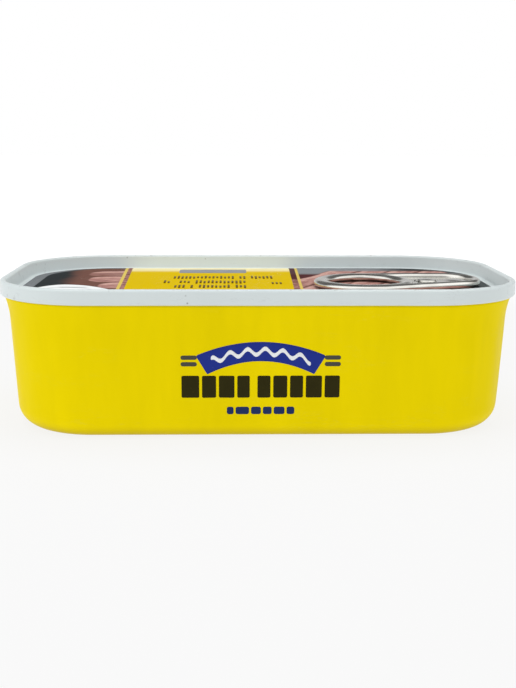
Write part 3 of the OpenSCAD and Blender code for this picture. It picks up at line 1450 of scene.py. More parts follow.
@dataclass(frozen=True)
class DrawnBody:
    """The drawn body: base, wall with faint upright ripples, and neck."""

    sizes: CanSizes
    ripple_depth: float = 0.05
    ripple_length: float = 6.7
    drift: float = 1.3
    drift_length: float = 7.5
    depth_change: float = 0.4
    depth_length: float = 13.0
    ripple_foot: Span = (3.0, 9.0)
    ripple_head: Span = (19.0, 25.5)
    bend_steps: int = 14
    wall_rows: int = 44
    ramp_rows: int = 9
    foot_steps: int = 4
    middle_steps: int = 5
    middle_radius: float = 2.0
    tuck_in: float = 0.6
    tuck_down: float = 0.8
    pole_rows: int = 10
    pole_share: float = 0.08

    def ripple(self, distance: np.ndarray, height: np.ndarray) -> np.ndarray:
        """How far the wall stands out of true.

        A sine along the wall, whose phase and depth drift, faded out towards the
        base and the neck.

        Args:
            distance: Distance along the plan.
            height: Height above the base.

        Returns:
            The shift along the outward direction.
        """
        drift = self.drift * np.sin(distance / self.drift_length)
        phase = 2 * np.pi * distance / self.ripple_length + drift
        change = self.depth_change * np.sin(distance / self.depth_length + 1.0)
        depth = self.ripple_depth * (1.0 - self.depth_change + change)
        fade = smooth(height, *self.ripple_foot) * (1.0 - smooth(height, *self.ripple_head))
        return depth * fade * np.sin(phase)

    def wall_radius(self, height: np.ndarray) -> np.ndarray:
        """Radius of the leaning wall: foot plus height times the lean, and the neck's square flare.

        Args:
            height: Height above the base.

        Returns:
            The radius about the corner centres.
        """
        sizes = self.sizes
        rise = np.clip((height - sizes.seam_z) / sizes.neck_height + 1.0, 0.0, 1.0)
        lean = math.tan(math.radians(sizes.wall_draft))
        return sizes.wall_foot + height * lean + sizes.neck_flare * rise**2

    def profile(self) -> np.ndarray:
        """Radius and height from the middle of the base, up the outside, to under the lid."""
        sizes = self.sizes
        draft = math.radians(sizes.wall_draft)
        arc_r = sizes.wall_foot + sizes.base_radius * (math.tan(draft) - 1 / math.cos(draft))
        foot_in = arc_r - sizes.foot_width
        recess = foot_in - 2 * sizes.base_recess
        round_r = sizes.base_radius
        bend = arc(arc_r, round_r, round_r, -90, -sizes.wall_draft, self.bend_steps)
        heights = np.linspace(bend[-1, 1], sizes.seam_z, self.wall_rows)[1:]
        wall = np.stack([self.wall_radius(heights), heights], axis=1)
        step = np.linspace(0.0, 1.0, self.ramp_rows)
        fall = sizes.base_recess * (1.0 - smooth(step, 0.0, 1.0))
        ramp = np.stack([recess + (foot_in - recess) * step, fall], axis=1)
        middle = line((self.middle_radius, sizes.base_recess), ramp[0], self.middle_steps)[:-1]
        foot = line((foot_in, 0.0), bend[0], self.foot_steps)[:-1]
        inner = sizes.wall_top - self.tuck_in
        top = np.array([[inner, sizes.seam_z], [inner, sizes.seam_z - self.tuck_down]])
        return np.concatenate([middle, ramp, foot, bend, wall, top])

    def build(self, finishes: Finishes, effects: Effects) -> bpy.types.Object:
        """Build the body.

        Args:
            finishes: The can's finishes.
            effects: The shared effects.

        Returns:
            The body's object.
        """
        plan = self.sizes.plan
        profile = self.profile()
        distance = plan.columns()[2][None]
        radius = profile[:, :1] + self.ripple(distance, profile[:, 1:])
        shell = plan.sweep(radius, profile[:, 1:])
        share = np.linspace(self.pole_share, 1.0, self.pole_rows)[:-1, None, None]
        base = shell[:1] * np.array([1, 1, 0]) * share + shell[:1] * np.array([0, 0, 1])
        mesh = SurfaceMesh()
        mesh.add_grid(
            np.concatenate([base, shell]),
            first_pole=(0.0, 0.0, profile[0, 1]),
            last_pole=(0.0, 0.0, profile[-1, 1]),
        )
        piece = mesh.piece("can_body_shell", [finishes.body.build(effects)])
        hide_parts("can_body")
        return piece

    def front(self, x: np.ndarray, z: np.ndarray, lift: float) -> np.ndarray:
        """Place points on the front wall.

        Args:
            x: Place along the wall.
            z: Height.
            lift: Distance out of the wall.

        Returns:
            Points with a last axis of x, y, z.
        """
        plan = self.sizes.plan
        distance = plan.front_start() + plan.corner_x + x
        radius = self.wall_radius(z) + self.ripple(distance, z) + lift
        return np.stack([x, -(plan.corner_y + radius), z], axis=-1)


@dataclass(frozen=True)
class SeamedLid:
    """The lid: double seam, inner wall, groove, border with its score line, and printed panel."""

    sizes: CanSizes
    score_place: float = 15.8
    score_depth: float = 0.05
    score_half_width: float = 0.12
    score_section: tuple[Span, ...] = ((1.0, 0.0), (0.5, 0.6), (0.0, 1.0), (-0.5, 0.6), (-1.0, 0.0))
    tuck_in: float = 0.5
    tuck_up: float = 0.1
    lip_width: float = 0.3
    hem_steps: int = 7
    crest_steps: int = 8
    side_steps: int = 8
    chuck_steps: int = 6
    lip_rows: int = 7
    border_steps: int = 4
    waver: float = 0.03
    waver_start: float = 0.6
    hem_waver: float = 0.07
    hem_reach: float = 1.0
    pole_rows: int = 22
    pole_share: float = 0.04

    def profile(self) -> tuple[np.ndarray, int]:
        """Radius and height from under the lid, over the seam, to the panel's edge.

        Returns:
            The points, and the number of the first one that the print covers.
        """
        s = self.sizes
        inner = s.wall_top - self.tuck_in
        plug_z = s.groove_z - s.lid_floor + self.tuck_up
        low, hem_r = s.seam_z + s.hem_radius, s.hem_radius
        hem = arc(s.corner_radius - hem_r, low, hem_r, -90, 0, self.hem_steps)
        crest_z, crest_r = s.height - s.crest_radius, s.crest_radius
        chuck_top = s.corner_radius - s.seam_thickness
        outer = arc(s.corner_radius - crest_r, crest_z, crest_r, 0, 90, self.crest_steps)
        over = arc(chuck_top + crest_r, crest_z, crest_r, 90, 180, self.crest_steps)
        fillet = s.groove_width / 2
        low = s.groove_z + fillet
        groove = arc(s.chuck_foot - fillet, low, fillet, 0, -90, self.crest_steps)
        rise = np.linspace(0.0, 1.0, self.lip_rows)
        lip = np.stack(
            [
                s.groove_inner + self.lip_width * (1.0 - rise),
                s.groove_z + s.groove_drop * smooth(rise, 0.0, 1.0),
            ],
            axis=1,
        )
        section = np.array(self.score_section)
        score = self.score_place + self.score_half_width * section[:, 0]
        scored = np.stack([score, s.border_z - self.score_depth * section[:, 1]], axis=1)
        step_out = s.groove_inner - s.border_width
        border = line(scored[-1], (step_out, s.border_z), self.border_steps)
        climb = np.stack(
            [
                step_out + (s.panel_edge - step_out) * rise[1:],
                s.border_z + s.border_drop * smooth(rise[1:], 0.0, 1.0),
            ],
            axis=1,
        )
        parts = [
            np.array([[inner, plug_z], [inner, s.seam_z]]),
            hem,
            line(hem[-1], outer[0], self.side_steps)[:-1],
            outer,
            over,
            line(over[-1], groove[0], self.chuck_steps)[:-1],
            groove,
            lip,
            scored,
            border,
            climb,
        ]
        points = np.concatenate(parts)
        return points, len(points) - len(lip) - len(scored) - len(border) - len(climb)

    @staticmethod
    def unevenness(distance: np.ndarray) -> np.ndarray:
        """How uneven the rolled seam is, from 0 to 1: two sines of the distance about a half.

        Args:
            distance: Distance along the plan.

        Returns:
            The share at each distance.
        """
        return 0.5 + 0.3 * np.sin(distance / 5.1) + 0.2 * np.sin(distance / 2.3 + 2.0)

    def build(self, finishes: Finishes, effects: Effects) -> bpy.types.Object:
        """Build the lid.

        Args:
            finishes: The can's finishes.
            effects: The shared effects.

        Returns:
            The lid's object.
        """
        plan = self.sizes.plan
        profile, printed = self.profile()
        uneven = self.unevenness(plan.columns()[2][None])
        edge, seam_z = self.sizes.corner_radius, self.sizes.seam_z
        outside = smooth(profile[:, :1], edge - self.waver_start, edge)
        radius = profile[:, :1] - self.waver * outside * uneven
        below = 1.0 - smooth(profile[:, 1:], seam_z, seam_z + self.hem_reach)
        height = profile[:, 1:] + self.hem_waver * below * outside * (1.0 - uneven)
        shell = plan.sweep(radius, height)
        share = np.linspace(1.0, self.pole_share, self.pole_rows)[1:, None, None]
        panel = shell[-1:] * np.array([1, 1, 0]) * share + shell[-1:] * np.array([0, 0, 1])
        grid = np.concatenate([shell, panel])
        slots = (np.arange(len(grid) - 1) >= printed).astype(int)
        mesh = SurfaceMesh()
        mesh.add_grid(
            grid,
            first_pole=(0.0, 0.0, profile[0, 1]),
            last_pole=(0.0, 0.0, self.sizes.panel_z),
            row_slots=slots,
        )
        materials = [finishes.seam.build(effects), finishes.panel.build(effects)]
        piece = mesh.piece("seamed_lid_shell", materials)
        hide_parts("lid")
        return piece

    def panel(self, x: np.ndarray, y: np.ndarray, lift: float) -> np.ndarray:
        """Place points on the panel.

        Args:
            x: Place along the can.
            y: Place across it.
            lift: Height above the panel.

        Returns:
            Points with a last axis of x, y, z.
        """
        return np.stack([x, y, np.full_like(x, self.sizes.panel_z + lift)], axis=-1)


@dataclass(frozen=True)
class Mark:
    """A printed shape: a strip about a middle line, with round ends."""

    start: float
    end: float
    middle: float
    half: float
    arch: float = 0.0
    wave: float = 0.0
    wave_length: float = 3.4
    lean: float = 0.0
    rounding: float = 0.5
    least_square: float = 0.02
    least_width: float = 0.2
    rows: int = 7
    columns: int = 24

    def outline(self) -> tuple[np.ndarray, np.ndarray]:
        """Work out the strip on a grid.

        Along it, the middle line falls by arch times the square of the distance
        from its centre and sways as a sine; across it, the half width shrinks at
        the ends as a circle does. Lean spreads the upper edge and draws in the
        lower one, in step with the distance along.

        Returns:
            The two coordinates on the surface, each of shape rows x columns.
        """
        turn = np.linspace(-math.pi / 2, math.pi / 2, self.columns)
        half_length = (self.end - self.start) / 2
        along = half_length * np.sin(turn)
        end = min(self.rounding, half_length)
        past = np.clip(np.abs(along) - (half_length - end), 0.0, None)
        shrink = np.sqrt(np.clip(1.0 - (past / end) ** 2, self.least_square, 1.0))
        width = np.maximum(self.half - end * (1.0 - shrink), self.least_width * self.half)
        sway = self.wave * np.sin(2 * np.pi * along / self.wave_length)
        centre = self.middle - self.arch * along**2 + sway
        across = np.linspace(-1.0, 1.0, self.rows)[:, None]
        spread = along[None] * (1.0 + self.lean / half_length * across)
        return (self.start + self.end) / 2 + spread, centre[None] + across * width[None]


@dataclass(frozen=True)
class PrintJob:
    """Shapes printed in one ink on one surface."""

    name: str
    ink: Ink
    marks: Sequence[Mark]
    lift: float = 0.03
    sunk: float = 0.03

    def build(self, surface: Any, effects: Effects, slot: Slot) -> bpy.types.Object:
        """Lay the shapes on a surface as thin closed slabs.

        Args:
            surface: The function that places points on the surface.
            effects: The shared effects.
            slot: The material slot that the ink belongs to; not used.

        Returns:
            The object with all the shapes.
        """
        mesh = SurfaceMesh()
        for mark in self.marks:
            first, second = mark.outline()
            mesh.add_slab(surface(first, second, self.lift), surface(first, second, -self.sunk))
        piece = mesh.piece(self.name, [self.ink.build(effects)])
        return piece


@dataclass(frozen=True)
class FrontPrint:
    """Plain shapes on the front wall, with no lettering."""

    band_reach: float = 11.4
    band_middle: float = 17.8
    band_half: float = 1.9
    band_arch: float = 0.0205
    band_lean: float = 1.0
    wave_reach: float = 9.6
    wave_half: float = 0.42
    wave_height: float = 0.6
    tail_start: float = 12.3
    tail_end: float = 15.4
    tail_levels: tuple[float, float] = (15.3, 16.6)
    tail_half: float = 0.42
    block_widths: tuple[tuple[float, ...], ...] = ((3.4, 2.7, 3.0, 2.4), (2.5, 2.7, 2.5, 3.1, 2.9))
    block_gap: float = 0.55
    group_gap: float = 1.5
    block_middle: float = 10.8
    block_half: float = 2.2
    dash_widths: tuple[float, ...] = (1.3, 2.6, 1.9, 1.7, 2.1, 1.5)
    dash_gap: float = 0.4
    dash_middle: float = 6.0
    dash_half: float = 0.75

    @staticmethod
    def row(widths: Sequence[float], start: float, gap: float, **sizes: float) -> list[Mark]:
        """A row of marks side by side.

        Args:
            widths: Width of each mark.
            start: Where the first one starts.
            gap: Gap between two.
            **sizes: The marks' other sizes.

        Returns:
            The marks.
        """
        starts = start + np.concatenate([[0.0], np.cumsum(np.array(widths) + gap)[:-1]])
        return [Mark(start=float(s), end=float(s + w), **sizes) for s, w in zip(starts, widths)]

    def blocks(self) -> list[Mark]:
        """Two groups of upright blocks, centred."""
        sizes = {"middle": self.block_middle, "half": self.block_half, "rounding": 0.3}
        widths = [sum(g) + self.block_gap * (len(g) - 1) for g in self.block_widths]
        start = -(sum(widths) + self.group_gap) / 2
        marks = []
        for group, width in zip(self.block_widths, widths):
            marks += self.row(group, start, self.block_gap, **sizes)
            start += width + self.group_gap
        return marks

    def dashes(self) -> list[Mark]:
        """One centred row of short dashes."""
        width = sum(self.dash_widths) + self.dash_gap * (len(self.dash_widths) - 1)
        return self.row(
            self.dash_widths, -width / 2, self.dash_gap,
            middle=self.dash_middle, half=self.dash_half, rounding=0.4,
        )

    def tails(self) -> list[Mark]:
        """Two short strokes on each side of the band."""
        marks = []
        for side in (-1, 1):
            ends = sorted((side * self.tail_start, side * self.tail_end))
            for level in self.tail_levels:
                marks.append(Mark(ends[0], ends[1], level, self.tail_half, rounding=0.4))
        return marks

    def build(self, body: DrawnBody, finishes: Finishes, effects: Effects) -> list[bpy.types.Object]:
        """Print the shapes on the body.

        Args:
            body: The body that carries them.
            finishes: The can's finishes.
            effects: The shared effects.

        Returns:
            One object for each ink.
        """
        reach, middle = self.band_reach, self.band_middle
        band = Mark(
            -reach, reach, middle, self.band_half,
            arch=self.band_arch, lean=self.band_lean, rounding=0.3, columns=60,
        )
        crest = Mark(
            -self.wave_reach, self.wave_reach, middle, self.wave_half,
            arch=self.band_arch, wave=self.wave_height, rounding=0.3, rows=5, columns=140,
        )
        jobs = [
            PrintJob("front_blue_band", finishes.blue, [band]),
            PrintJob("front_white_wave", finishes.white, [crest], lift=0.05),
            PrintJob("front_grey_strokes", finishes.grey, self.tails()),
            PrintJob("front_charcoal_blocks", finishes.charcoal, self.blocks()),
            PrintJob("front_navy_dashes", finishes.navy, self.dashes()),
        ]
        return [job.build(body.front, effects, Slot.BODY) for job in jobs]


@dataclass(frozen=True)
class LidPrint:
    """Plain marks on the lid's yellow field: a grey bar, rows of short strokes and a row of blocks."""

    bar_start: float = -17.6
    bar_end: float = -2.1
    bar_middle: float = 19.4
    bar_half: float = 3.1
    stamp_rows: tuple[tuple[float, float, float], ...] = (
        (8.6, -18.4, 3.2),
        (1.0, -20.2, -2.6),
        (-6.0, -17.6, -1.8),
        (-0.6, 2.2, 6.4),
    )
    pitch: float = 0.86
    stroke: float = 0.46
    stroke_share: float = 0.9
    stroke_halves: Span = (1.5, 2.6)
    stroke_shifts: Span = (-0.4, 0.4)
    seed: int = 7
    block_widths: tuple[float, ...] = (3.2, 2.6, 2.9, 2.4, 2.6, 2.8)
    block_start: float = -19.3
    block_gap: float = 0.6
    block_middle: float = -13.5
    block_half: float = 1.7

    def stamp(self) -> list[Mark]:
        """Rows of strokes: one for each step along a row, with its length and height by chance.

        Returns:
            One mark for each stroke.
        """
        chance = np.random.default_rng(self.seed)
        marks = []
        for level, start, end in self.stamp_rows:
            places = np.arange(start, end, self.pitch)
            places = places[chance.random(len(places)) < self.stroke_share]
            halves = chance.uniform(*self.stroke_halves, len(places))
            shifts = chance.uniform(*self.stroke_shifts, len(places))
            for place, half, shift in zip(places, halves, shifts):
                marks.append(
                    Mark(
                        start=float(place),
                        end=float(place + self.stroke),
                        middle=float(level + shift),
                        half=float(half),
                        rounding=0.15,
                        rows=3,
                        columns=7,
                    )
                )
        return marks

    def build(self, lid: SeamedLid, finishes: Finishes, effects: Effects) -> list[bpy.types.Object]:
        """Print the marks on the lid.

        Args:
            lid: The lid that carries them.
            finishes: The can's finishes.
            effects: The shared effects.

        Returns:
            One object for each ink.
        """
        bar = Mark(self.bar_start, self.bar_end, self.bar_middle, self.bar_half, rounding=0.5)
        blocks = FrontPrint.row(
            self.block_widths, self.block_start, self.block_gap,
            middle=self.block_middle, half=self.block_half, rounding=0.3,
        )
        jobs = [
            PrintJob("lid_slate_bar", finishes.slate, [bar], lift=0.02),
            PrintJob("lid_stamp_strokes", finishes.stamp, self.stamp(), lift=0.02),
            PrintJob("lid_charcoal_blocks", finishes.charcoal, blocks, lift=0.02),
        ]
        return [job.build(lid.panel, effects, Slot.LID) for job in jobs]


@dataclass(frozen=True)
class RingPull:
    """The ring-pull tab with its rivet, laid out along its own axis from ring to nose."""

    sizes: CanSizes
    ring_radius: float = 10.6
    hole_radius: float = 7.6
    thickness: float = 1.6
    nose_radius: float = 7.6
    nose_reach: float = 17.6
    nose_curl: float = 1.75
    nose_gap: float = 2.3
    rivet_setback: float = 3.8
    rivet_offset: float = 4.3
    turn: float = 9.5
    clearance: float = 0.1
    web_height: float = 0.45
    web_thickness: float = 0.5
    narrowing: Span = (0.02, 0.6)
    section_powers: Span = (0.9, 0.8)
    section_steps: int = 28
    lip_half: float = 1.25
    lip_gap: float = 0.02
    lip_share: float = 0.47
    lip_turn: float = 84.0
    lip_columns: int = 80
    lip_steps: int = 24
    slot_place: float = 2.6
    slot_half_width: float = 0.18
    slot_floor_share: float = 0.6
    slot_depth: float = 0.3
    slot_facing: Span = (0.9, 1.15)
    dome_place: float = 6.4
    dome_reach: Span = (2.2, 3.0)
    dome_power: float = 1.5
    dome_height: float = 0.3
    web_start: float = 0.3
    web_near: float = 3.2
    near_rows: int = 30
    far_rows: int = 34
    web_columns: int = 200
    edge_points: int = 1500
    seat_radius: float = 2.2
    seat_spread: Span = (2.6, 2.4)
    seat_levels: Span = (-0.1, 0.15)
    shank_radius: float = 1.5
    seat_gap: float = 0.02
    head_radius: float = 2.1
    head_height: float = 0.4
    head_rounding: float = 0.3
    head_bevel: float = 0.1
    crown_height: float = 0.12
    crown_middle: float = 0.15
    rivet_columns: int = 64
    columns: int = 240

    @property
    def rivet_along(self) -> float:
        """Distance from the ring's centre to the rivet."""
        return self.nose_reach - self.rivet_setback

    @property
    def rivet_x(self) -> float:
        """Place of the rivet along the can."""
        edge = self.sizes.plan.corner_x + self.sizes.groove_inner
        return edge - self.nose_gap - self.nose_radius - self.rivet_setback

    @property
    def middle_z(self) -> float:
        """Height of the middle of the ring's thickness."""
        return self.sizes.panel_z + self.clearance + self.thickness / 2

    def place(self, points: np.ndarray) -> np.ndarray:
        """Turn points about the rivet and move them to the tab's place.

        Args:
            points: Points from the ring's centre, heights from the ring's middle.

        Returns:
            Points in the can's frame.
        """
        angle = math.radians(self.turn)
        x, y, z = np.moveaxis(points, -1, 0)
        x = x - self.rivet_along
        turned_x = self.rivet_x + x * math.cos(angle) - y * math.sin(angle)
        turned_y = x * math.sin(angle) + y * math.cos(angle) - self.rivet_offset
        return np.stack([turned_x, turned_y, z + self.middle_z], axis=-1)

    def rim_path(self, inset: float, count: int) -> tuple[np.ndarray, np.ndarray, np.ndarray]:
        """The tab's outline: two arcs joined by their common tangents, moved inwards.

        Args:
            inset: Distance inwards from the outer edge.
            count: Number of points, spread evenly along it.

        Returns:
            Points, outward directions, and how far each is from ring to nose.
        """
        taper = math.asin((self.ring_radius - self.nose_radius) / self.nose_reach)
        quarter = math.pi / 2
        ring = self.ring_radius * (2 * quarter + 2 * taper)
        side = self.nose_reach * math.cos(taper)
        nose = self.nose_radius * (2 * quarter - 2 * taper)
        stops = np.cumsum([0.0, ring, side, nose, side])
        along = np.linspace(0.0, stops[-1], count, endpoint=False)
        angles = [quarter - taper, 3 * quarter + taper, 3 * quarter + taper]
        angles += [5 * quarter - taper, 5 * quarter - taper]
        angle = np.interp(along, stops, angles)
        reach = np.interp(along, stops, [0.0, 0.0, 1.0, 1.0, 0.0])
        radius = self.ring_radius + (self.nose_radius - self.ring_radius) * reach - inset
        direction = np.stack([np.cos(angle), np.sin(angle)], axis=1)
        anchor = np.stack([self.nose_reach * reach, np.zeros_like(reach)], axis=1)
        return anchor + radius[:, None] * direction, direction, reach

    def add_rim(self, mesh: SurfaceMesh) -> None:
        """Add the band of the ring, which narrows to the nose's curl.

        Its section is a rounded oval: a power of cosine and sine across a half
        width that shrinks from ring to nose.

        Args:
            mesh: The mesh to add to.
        """
        outer, direction, reach = self.rim_path(0.0, self.columns)
        band = self.ring_radius - self.hole_radius
        half = (band + (self.nose_curl - band) * smooth(reach, *self.narrowing)) / 2
        turn = np.linspace(0.0, 2 * np.pi, self.section_steps, endpoint=False)[:, None]
        flat_power, tall_power = self.section_powers
        across = np.sign(np.cos(turn)) * np.abs(np.cos(turn)) ** flat_power
        up = np.sign(np.sin(turn)) * np.abs(np.sin(turn)) ** tall_power
        inward = half[None] * (1.0 - across)
        flat = outer[None] - inward[..., None] * direction[None]
        tall = np.broadcast_to(self.thickness / 2 * up, flat.shape[:2])
        mesh.add_grid(self.place(np.concatenate([flat, tall[..., None]], axis=2)), wrap_rows=True)

    def add_bridge(self, mesh: SurfaceMesh) -> None:
        """Add the rolled lip between finger hole and web: an oval section carried along an arc.

        Args:
            mesh: The mesh to add to.
        """
        angle = np.radians(np.linspace(-self.lip_turn, self.lip_turn, self.lip_columns))[None]
        turn = np.linspace(0.0, 2 * np.pi, self.lip_steps, endpoint=False)[:, None]
        out = self.lip_half * (1.0 + np.cos(turn)) * np.ones_like(angle)
        radius = self.hole_radius + self.lip_gap + out
        tall = self.lip_share * self.thickness * np.sin(turn) * np.ones_like(angle)
        flat = np.stack([radius * np.cos(angle), radius * np.sin(angle), tall], axis=-1)
        mesh.add_grid(self.place(flat), wrap_columns=False, wrap_rows=True)
        for end, turned in ((0, False), (-1, True)):
            ring = flat[:, end]
            first = mesh.add_points(self.place(ring))
            number = first + np.arange(len(ring))
            mesh.add_faces(number[None, ::-1] if turned else number[None], 0)

    def web_reach(self, angle: np.ndarray) -> np.ndarray:
        """Distance from the rivet to where the web ends inside the rolled edges.

        The nearer of two crossings of a ray: with the outline moved inwards, found
        by interpolating over its own angles, and with the circle of the lip.

        Args:
            angle: Directions from the rivet.

        Returns:
            The distances.
        """
        path = self.rim_path(self.nose_curl / 2, self.edge_points)[0] - [self.rivet_along, 0.0]
        path_angle = np.arctan2(path[:, 1], path[:, 0])
        order = np.argsort(path_angle)
        edge = np.interp(
            angle, path_angle[order], np.linalg.norm(path, axis=1)[order], period=2 * np.pi
        )
        lip = self.hole_radius + self.lip_half
        toward = -self.rivet_along * np.cos(angle)
        inside = toward**2 - self.rivet_along**2 + lip**2
        crossing = toward - np.sqrt(np.clip(inside, 0.0, None))
        hits = (inside > 0) & (toward > 0)
        return np.where(hits, np.minimum(crossing, edge), edge)

    def web_top(self, distance: np.ndarray, angle: np.ndarray) -> np.ndarray:
        """Height of the web: a slot round three sides of the rivet and a pressed dome in the nose.

        Args:
            distance: Distance from the rivet.
            angle: Direction from the rivet.

        Returns:
            Heights above the underside of the web.
        """
        facing = smooth(np.abs(np.angle(np.exp(1j * angle))), *self.slot_facing)
        off = np.abs(distance - self.slot_place)
        floor = self.slot_half_width * self.slot_floor_share
        slot = (1.0 - smooth(off, floor, self.slot_half_width)) * facing
        x = (distance * np.cos(angle) - self.dome_place) / self.dome_reach[0]
        y = distance * np.sin(angle) / self.dome_reach[1]
        dome = np.exp(-((x**2 + y**2) ** self.dome_power))
        return self.web_thickness - self.slot_depth * slot + self.dome_height * dome

    def add_web(self, mesh: SurfaceMesh) -> None:
        """Add the web: rings about the rivet out to its edge, top and underside.

        Args:
            mesh: The mesh to add to.
        """
        angle = np.linspace(-np.pi, np.pi, self.web_columns, endpoint=False)
        limit = self.web_reach(angle)[None]
        near = np.linspace(self.web_start, self.web_near, self.near_rows)[:, None]
        near = near * np.ones_like(angle)[None]
        outward = np.linspace(0.0, 1.0, self.far_rows)[1:, None]
        far = self.web_near + (limit - self.web_near) * outward
        distance = np.concatenate([near, far])
        spread = np.broadcast_to(angle[None], distance.shape)
        x = self.rivet_along + distance * np.cos(spread)
        y = distance * np.sin(spread)
        low = -self.thickness / 2 - self.clearance + self.web_height
        top = np.stack([x, y, low + self.web_top(distance, spread)], axis=-1)
        under = np.stack([x, y, np.full_like(x, low)], axis=-1)
        grid = np.concatenate([under, top[::-1]])
        mesh.add_grid(
            self.place(grid),
            first_pole=self.place(np.array([self.rivet_along, 0.0, low])),
            last_pole=self.place(np.array([self.rivet_along, 0.0, low + self.web_thickness])),
        )

    def build(self, finishes: Finishes, effects: Effects) -> list[bpy.types.Object]:
        """Build the tab and the rivet that holds it.

        Args:
            finishes: The can's finishes.
            effects: The shared effects.

        Returns:
            The tab and the rivet.
        """
        metal = finishes.tab.build(effects)
        mesh = SurfaceMesh()
        self.add_rim(mesh)
        self.add_bridge(mesh)
        self.add_web(mesh)
        tab = mesh.piece("ring_pull", [metal])
        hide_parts("pull_tab")
        rivet = self.rivet(metal)
        return [tab, rivet]

    def rivet(self, metal: bpy.types.Material) -> bpy.types.Object:
        """Build the rivet: seat, shank and low domed head, a profile turned about its axis.

        Args:
            metal: Its material.

        Returns:
            The rivet's object.
        """
        low = self.sizes.panel_z
        under = low + self.web_height
        over = under + self.web_thickness
        head, rounding, bevel = self.head_radius, self.head_rounding, self.head_bevel
        edge = arc(head - rounding, over + self.head_height - rounding, rounding, 0, 90, 6)
        crest = np.linspace(head - rounding, self.crown_middle, 12)[1:]
        crown = over + self.head_height + self.crown_height * (1.0 - (crest / crest[0]) ** 2)
        seat = [[r, low + level] for r, level in zip(self.seat_spread, self.seat_levels)]
        seat += [[r, under - self.seat_gap] for r in (self.seat_radius, self.shank_radius)]
        neck = [[self.shank_radius, over], [head - bevel, over], [head, over + bevel]]
        profile = np.concatenate([seat, neck, edge, np.stack([crest, crown], axis=1)])
        angle = np.linspace(0.0, 2 * np.pi, self.rivet_columns, endpoint=False)[None]
        radius, height = profile[:, :1], profile[:, 1:]
        grid = np.stack(
            [
                self.rivet_x + radius * np.cos(angle),
                radius * np.sin(angle) - self.rivet_offset,
                height * np.ones_like(angle),
            ],
            axis=-1,
        )
        mesh = SurfaceMesh()
        mesh.add_grid(
            grid,
            first_pole=(self.rivet_x, -self.rivet_offset, float(profile[0, 1])),
            last_pole=(self.rivet_x, -self.rivet_offset, float(profile[-1, 1])),
        )
        return mesh.piece("lid_rivet", [metal])


# ---------------------------------------------------------------- studio


@dataclass(frozen=True)
class Softbox:
    """A soft rectangular light."""

    name: str
    place: tuple[float, float, float]
    size: float
    watts: float

    def build(self, target: Vector) -> None:
        """Place the light and aim it.

        Args:
            target: The point that it faces.
        """
        light = bpy.data.lights.new(self.name, "AREA")
        light.size = self.size
        light.energy = self.watts
        obj = bpy.data.objects.new(self.name, light)
        obj.location = self.place
        obj.rotation_euler = (target - obj.location).to_track_quat("-Z", "Y").to_euler()
        obj.visible_glossy = False
        bpy.context.scene.collection.objects.link(obj)


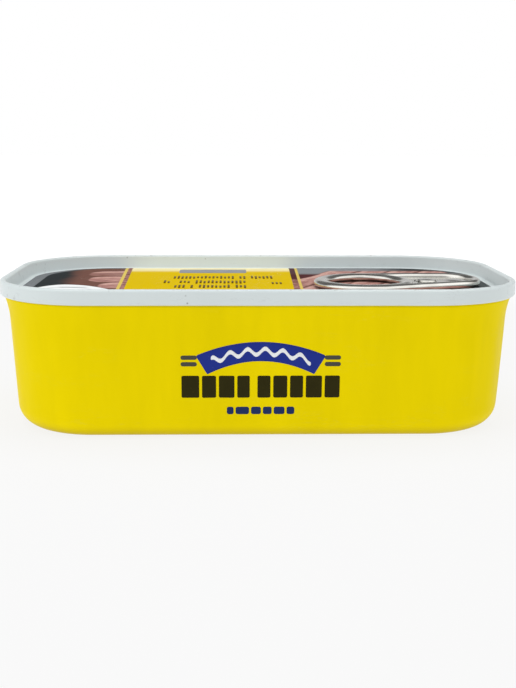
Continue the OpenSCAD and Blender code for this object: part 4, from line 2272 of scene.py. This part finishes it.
@dataclass(frozen=True)
class Studio:
    """Pale floor, soft light and the camera, in metres and degrees.

    The floor's glow rises along Y, in millimetres. The sky's stops run from straight
    down at 0 to straight up at 1. The mirrored rises are parts of a reflection's
    direction: its Y part, and its Z part for the light strip.
    """

    camera_place: tuple[float, float, float] = (-0.00604, -0.22676, 0.05814)
    camera_down: float = 11.058
    camera_right: float = 1.576
    camera_roll: float = 0.235
    lens: float = 55.44
    sensor_width: float = 36.0
    clip_start: float = 0.01
    floor_size: float = 6.0
    floor_base: Colour = grey(0.1)
    floor_roughness: float = 0.9
    floor_glow: Colour = grey(0.842)
    floor_glow_rise: Span = (120.0, 260.0)
    white: Colour = grey(1.0)
    sky_stops: tuple[tuple[float, Colour], ...] = (
        (0.45, grey(0.7)),
        (0.56, (0.62, 0.62, 0.63)),
        (0.68, (0.3, 0.3, 0.31)),
        (0.9, grey(0.75)),
    )
    mirrored_behind: Colour = grey(0.14)
    mirrored_strip: Colour = grey(0.62)
    strip_fall: Span = (0.34, 0.24)
    mirrored_ahead: Colour = grey(1.3)
    mirrored_far_ahead: Colour = grey(0.5)
    far_ahead_rise: Span = (-0.7, -0.97)
    behind_rise: Span = (0.0, 0.42)
    lights: tuple[Softbox, ...] = (
        Softbox("top_softbox", (0.0, 0.02, 0.5), 0.35, 1.0),
        Softbox("left_softbox", (-0.45, -0.3, 0.22), 0.2, 0.75),
        Softbox("right_softbox", (0.5, -0.1, 0.2), 0.2, 0.34),
    )

    def build_camera(self) -> None:
        """Set the camera from its place and the turn, tilt and roll of its view."""
        down, right, roll = map(math.radians, (self.camera_down, self.camera_right, self.camera_roll))
        forward = Vector(
            (math.sin(right) * math.cos(down), math.cos(right) * math.cos(down), -math.sin(down))
        )
        side = Vector((math.cos(right), -math.sin(right), 0.0))
        up = side.cross(forward)
        turned_side = math.cos(roll) * side + math.sin(roll) * up
        turned_up = math.cos(roll) * up - math.sin(roll) * side
        matrix = Matrix((turned_side, turned_up, -forward)).transposed().to_4x4()
        matrix.translation = Vector(self.camera_place)
        camera = bpy.data.cameras.new("camera")
        camera.lens = self.lens
        camera.sensor_width = self.sensor_width
        camera.clip_start = self.clip_start
        obj = bpy.data.objects.new("camera", camera)
        obj.matrix_world = matrix
        bpy.context.scene.collection.objects.link(obj)
        bpy.context.scene.camera = obj

    def build_floor(self) -> None:
        """Lay the pale floor and mark it as stage."""
        half = self.floor_size / 2
        mesh = bpy.data.meshes.new("floor")
        corners = [(-half, -half, 0.0), (half, -half, 0.0), (half, half, 0.0), (-half, half, 0.0)]
        mesh.from_pydata(corners, [], [(0, 1, 2, 3)])
        material = bpy.data.materials.new("pale_floor")
        material.use_nodes = True
        graph = Graph(material.node_tree)
        shader = material.node_tree.nodes["Principled BSDF"]
        shader.inputs["Base Color"].default_value = (*self.floor_base, 1.0)
        shader.inputs["Roughness"].default_value = self.floor_roughness
        shader.inputs["Specular IOR Level"].default_value = 0.0
        shader.inputs["Emission Strength"].default_value = 1.0
        depth = graph.split(graph.millimetres())[1]
        glow = graph.laid(self.floor_glow, self.white, graph.rise(depth, *self.floor_glow_rise))
        graph.feed(shader.inputs["Emission Color"], glow)
        mesh.materials.append(material)
        floor = bpy.data.objects.new("floor", mesh)
        bpy.context.scene.collection.objects.link(floor)
        floor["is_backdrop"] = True

    def build_world(self) -> None:
        """Light the air by direction.

        It is white to the eye. On matt surfaces it is dimmest a little above the
        horizon. In reflections it is bright ahead of the can and dark behind it,
        but for a light strip along the far horizon.
        """
        world = bpy.data.worlds.new("studio_air")
        bpy.context.scene.world = world
        world.use_nodes = True
        graph = Graph(world.node_tree)
        back = world.node_tree.nodes["Background"]
        direction = graph.add("ShaderNodeTexCoord").outputs["Generated"]
        _, depth, height = graph.split(direction)
        matt = graph.ramp(graph.spread(height, 0.5, 1.0), self.sky_stops)
        low = graph.rise(height, *self.strip_fall)
        behind = graph.laid(self.mirrored_behind, self.mirrored_strip, low)
        far_ahead = graph.rise(depth, *self.far_ahead_rise)
        ahead = graph.laid(self.mirrored_ahead, self.mirrored_far_ahead, far_ahead)
        mirrored = graph.laid(ahead, behind, graph.rise(depth, *self.behind_rise))
        path = graph.add("ShaderNodeLightPath")
        light = graph.laid(matt, mirrored, path.outputs["Is Glossy Ray"])
        light = graph.laid(light, self.white, path.outputs["Is Camera Ray"])
        graph.feed(back.inputs["Color"], light)

    def build(self) -> None:
        """Build the whole studio."""
        bpy.context.scene.view_settings.view_transform = "Standard"
        self.build_camera()
        self.build_floor()
        self.build_world()
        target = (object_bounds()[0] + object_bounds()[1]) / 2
        for light in self.lights:
            light.build(target)


# ---------------------------------------------------------------- the can


def ride(pieces: Sequence[bpy.types.Object]) -> None:
    """Make pieces ride on the can's one body, and report each.

    Args:
        pieces: The pieces.
    """
    for piece in pieces:
        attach(piece, "root")
        LOG.info("%s: %d faces", piece.name, len(piece.data.polygons))


def main() -> None:
    """Build the studio and the can, piece by piece."""
    logging.basicConfig(level=logging.INFO, format="%(name)s %(message)s", stream=sys.stdout)
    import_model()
    sizes = CanSizes.from_frame()
    Studio().build()
    effects, finishes = Effects(), Finishes()
    body, lid = DrawnBody(sizes), SeamedLid(sizes)
    ride([body.build(finishes, effects)])
    ride([lid.build(finishes, effects)])
    ride(RingPull(sizes).build(finishes, effects))
    ride(FrontPrint().build(body, finishes, effects))
    ride(LidPrint().build(lid, finishes, effects))


if __name__ == "__main__":
    main()
